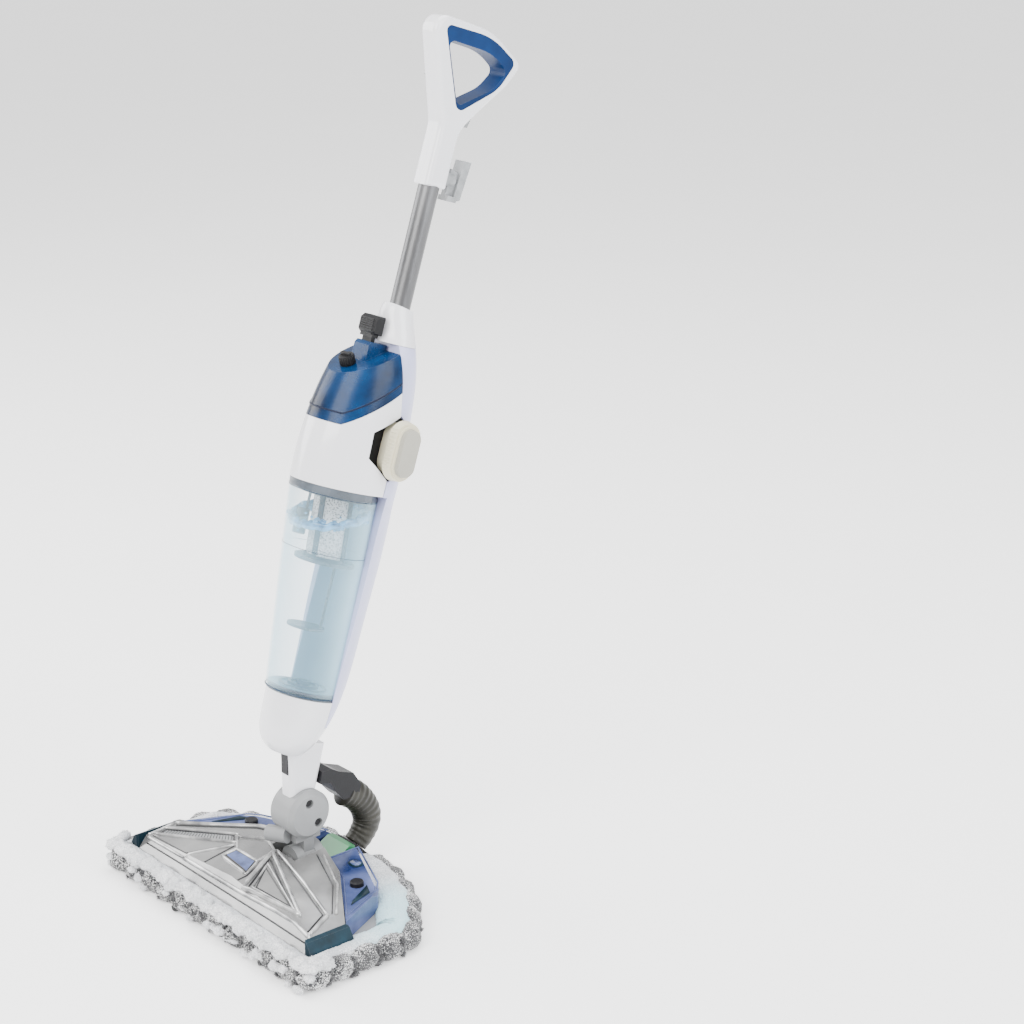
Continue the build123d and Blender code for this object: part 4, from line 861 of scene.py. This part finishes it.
def makeWater():
    around = 64
    rings = [jarRing(up, -jar["gapToWall"]) for up in (147.5, 180, 230, 280)]
    surface = levelRing(jar["level"], -jar["gapToWall"])
    rings.append(surface)
    verts = [p for ring in rings for p in ring]
    faces = ringFaces(len(rings), around, capEnd=False)
    centre = sum(surface, Vector()) / around
    start = (len(rings) - 1) * around
    for k, share in enumerate((0.8, 0.6, 0.4, 0.2)):
        first = len(verts)
        for j, p in enumerate(surface):
            q = centre + (p - centre) * share
            q.z += 0.0022 * noise.noise(q * 90) + 0.001 * noise.noise(q * 260)
            verts.append(q)
        for j in range(around):
            n = (j + 1) % around
            previous = start if k == 0 else first - around
            faces.append((previous + j, previous + n, first + n, first + j))
    faces.append(tuple(len(verts) - around + j for j in range(around)))
    addPiece("jarWater", verts, faces, waterBlue, "jar", slot="clear_plastic")
    # choppy band and drops where the water churns against the wall
    rng = random.Random(jar["seed"])
    bits = []
    for k in range(jar["drops"]):
        j = rng.uniform(0, around)
        p = surface[int(j) % around].copy()
        inward = (centre - p).normalized()
        p += inward * rng.uniform(0.002, 0.010)
        rise = rng.gauss(0.0, 0.0045)
        p.z += rise
        size = rng.uniform(0.0012, 0.0042) if abs(rise) < 0.006 else rng.uniform(0.0008, 0.0018)
        bits.append(lump(p, size, rng))
    crest = []
    for p in surface:
        crest.append(p + (centre - p).normalized() * 0.0022 + Vector((0, 0, 0.0030 * noise.noise(p * 120))))
    ring = []
    for i, p in enumerate(crest):
        ahead = (crest[(i + 1) % around] - crest[i - 1]).normalized()
        across = ahead.cross(Vector((0, 0, 1))).normalized()
        fat = 0.0016 + 0.0016 * (0.5 + 0.5 * noise.noise(p * 150 + Vector((9, 0, 0))))
        for j in range(8):
            turn = math.pi * j / 4
            ring.append(p + across * (0.8 * fat * math.cos(turn)) + Vector((0, 0, 1.9 * fat * math.sin(turn))))
    bits.append((ring, ringFaces(around, 8, closedAlong=True)))
    addPiece("jarSplash", *joined(bits), splashBlue, "jar", slot="clear_plastic")
    # thin dark lines at the jar's foot and mouth, and one moulded edge between
    lines = []
    for up, fat in jar["lines"]:
        ring = []
        points = jarRing(up, 0.15, 96)
        for i, p in enumerate(points):
            ahead = (points[(i + 1) % 96] - points[i - 1]).normalized()
            across = ahead.cross(upAxis).normalized()
            for j in range(6):
                turn = 2 * math.pi * j / 6
                ring.append(p + across * (fat * math.cos(turn)) + upAxis * (fat * math.sin(turn)))
        lines.append((ring, ringFaces(96, 6, closedAlong=True)))
    addPiece("jarLines", *joined(lines), jarLine, "jar", slot="dark_plastic")
    print("water made")


dial = {"back": -31, "up": 436, "ribs": 13, "spread": 24, "straight": 15.0, "foot": (58.2, 19.35),
        "head": (66.6, 17.65), "ribFat": 0.0009}  # foot and head: sideways place and radius of the oval's ends


def dialEdge(end, radius, shift):
    along = max(0.0, abs(shift) - dial["straight"])
    reach = radius if along == 0 else math.sqrt(max(1.0, radius ** 2 - along ** 2))
    return dial["back"] + end * reach


def makeDialDetail():
    ribs = []
    for end in (-1, 1):
        for k in range(dial["ribs"]):
            shift = -dial["spread"] + 2 * dial["spread"] * k / (dial["ribs"] - 1)
            (footX, footRadius), (headX, headRadius) = dial["foot"], dial["head"]
            a = bodyPoint(footX, dialEdge(end, footRadius, shift), dial["up"] + shift)
            b = bodyPoint(headX, dialEdge(end, headRadius, shift), dial["up"] + shift)
            steps = [a.lerp(b, t / 6) for t in range(7)]
            ribs.append(tube(steps, dial["ribFat"], around=8))
    addPiece("dialRibs", *joined(ribs), finishes["cream_plastic"], "dial", slot="cream_plastic")
    print("dial detail made")


cap = {"back": -84, "up": 515.6, "ribs": 22, "radius": 0.0085}


def makeCapDetail():
    # finger ribs round the fill cap
    centre = bodyPoint(0, cap["back"], cap["up"])
    slope = (upAxis - backAxis * 0.6).normalized()
    side = Vector((1, 0, 0))
    other = slope.cross(side)
    ribs = []
    for k in range(cap["ribs"]):
        turn = 2 * math.pi * k / cap["ribs"]
        foot = centre + (side * math.cos(turn) + other * math.sin(turn)) * cap["radius"]
        ribs.append(tube([foot + slope * (0.001 + 0.0015 * t) for t in range(7)], 0.0007, around=6))
    addPiece("capRibs", *joined(ribs), charcoal, "fill_cap", slot="dark_plastic")
    print("cap detail made")


latch = {"back": (-71.5, -57.0), "up": (553.5, 574.5), "half": 14.5, "ribs": 6}


def makeLatchPad():
    # wide thumb pad over the tank's catch, with raised grip bars on its front
    (front, rear), (low, high), half = latch["back"], latch["up"], latch["half"]
    outline = [(front, low + 3), (front + 3, low), (rear, low), (rear, high), (front + 4, high), (front, high - 4)]
    verts = []
    for x, inset in ((-half, 2.0), (-half + 2, 0.0), (half - 2, 0.0), (half, 2.0)):
        middleBack, middleUp = (front + rear) / 2, (low + high) / 2
        for back, up in outline:
            shrink = 1 - inset / 12
            verts.append(bodyPoint(x, middleBack + (back - middleBack) * shrink, middleUp + (up - middleUp) * shrink))
    parts = [(verts, ringFaces(4, len(outline)))]
    for k in range(latch["ribs"]):
        up = low + 4.5 + (high - low - 9) * k / (latch["ribs"] - 1)
        bar = [bodyPoint(x, front - 0.1, up) for x in (-half + 3, -half / 3, half / 3, half - 3)]
        parts.append(tube(bar, [(0.0011, 0.0009)] * 4, around=8, side=backAxis))
    addPiece("latchPad", *joined(parts), charcoal, "latch", smooth=False, slot="dark_plastic")
    print("latch pad made")


def outerLoop(node, point, normal):
    # the longest outline where a plane cuts a part
    cut = bmesh.new()
    cut.from_mesh(frame["nodes"][node].data)
    whole = cut.verts[:] + cut.edges[:] + cut.faces[:]
    found = bmesh.ops.bisect_plane(cut, geom=whole, plane_co=point, plane_no=normal)
    edges = [e for e in found["geom_cut"] if isinstance(e, bmesh.types.BMEdge)]
    near = {}
    for e in edges:
        a, b = (tuple(round(c, 5) for c in v.co) for v in e.verts)
        if a != b:
            near.setdefault(a, []).append(b)
            near.setdefault(b, []).append(a)
    cut.free()
    best, seen = [], set()
    for first in sorted(near):
        if first in seen:
            continue
        loop, here = [first], first
        seen.add(first)
        while True:
            after = [n for n in near[here] if n not in seen]
            if not after:
                break
            here = min(after, key=lambda n: (Vector(n) - Vector(here)).length)
            seen.add(here)
            loop.append(here)
        size = sum((Vector(a) - Vector(b)).length for a, b in zip(loop, loop[1:]))
        if size > sum((Vector(a) - Vector(b)).length for a, b in zip(best, best[1:])):
            best = loop
    return [Vector(p) for p in best]


def seamTube(points, fat):
    keep = [points[0]]
    for p in points[1:]:
        if (p - keep[-1]).length > seam["step"]:
            keep.append(p)
    return tube(keep, fat, around=6)


seam = {"bendBack": -100.0, "bendUp": 463.3, "slope": 0.754, "fat": 0.0009, "step": 0.0012}


def makeTankSeam():
    # dark joint round the tank above its foot: level in front, then rising
    bend = bodyPoint(0, seam["bendBack"], seam["bendUp"])
    parts = []
    for normal, side in ((upAxis, -1), (upAxis - backAxis * seam["slope"], 1)):
        loop = outerLoop("tank_base", bend, normal.normalized())
        keep = [side * (p - bend).dot(backAxis) >= -0.0004 for p in loop]
        if not any(keep):
            continue
        first = next((i for i in range(len(loop)) if keep[i] and not keep[i - 1]), 0)
        chain = []
        for i in range(len(loop)):
            k = (first + i) % len(loop)
            if not keep[k]:
                break
            chain.append(loop[k])
        if len(chain) > 2:
            parts.append(seamTube(chain, seam["fat"]))
    if parts:
        addPiece("tankSeam", *joined(parts), seamDark, "water_tank", slot="blue_clear")
    print("tank seam made", len(parts))


# each ring of the mouth is a radius and how far it stands out, in millimetres
elbow = {"axis": (-1, -0.4, -0.1), "rings": ((8.4, 0.2), (8.2, 0.7), (7.2, 0.8), (6.4, 0.35), (3.0, 0.25))}


def makeElbowMouth():
    # navy cup in the end of the steam elbow
    axis = Vector(elbow["axis"]).normalized()
    points = [v.co for v in frame["nodes"]["steam_elbow"].data.vertices]
    reach = max(p.dot(axis) for p in points)
    rim = [p for p in points if p.dot(axis) > reach - 0.0004]
    end = sum(rim, Vector()) / len(rim)
    rings = []
    side = axis.orthogonal().normalized()
    other = axis.cross(side)
    for radius, out in elbow["rings"]:
        rings.append([end + axis * (out / 1000) + (side * math.cos(2 * math.pi * j / 32)
                      + other * math.sin(2 * math.pi * j / 32)) * (radius / 1000) for j in range(32)])
    verts = [p for ring in rings for p in ring]
    addPiece("elbowMouth", verts, ringFaces(len(rings), 32), navy, "swivel", slot="dark_plastic")
    print("elbow mouth made")


floorSheet = {"half": 18.0, "color": (0.97, 0.97, 0.97), "selfGlow": 0.62}


def makeFloor():
    paint = plastic("floorPaint", floorSheet["color"], rough=0.7, tone=0.01, toneSize=0.4, grain=0.02, edgeWearAndHighlight=0,
                    selfGlow=floorSheet["selfGlow"])
    half = floorSheet["half"]
    corners = [(-half, -half, 0), (half, -half, 0), (half, half, 0), (-half, half, 0)]
    addPiece("floor", corners, [(0, 1, 2, 3)], paint, None, smooth=False)


makeCamera()
makeLights()
paintNodes()
makeFloor()
makeYarn()
makeBorder()
makePadCore()
makeCoverDetail()
makeTrayDetail()
makeHose()
makeWater()
makeDialDetail()
makeCapDetail()
makeLatchPad()
makeTankSeam()
makeElbowMouth()
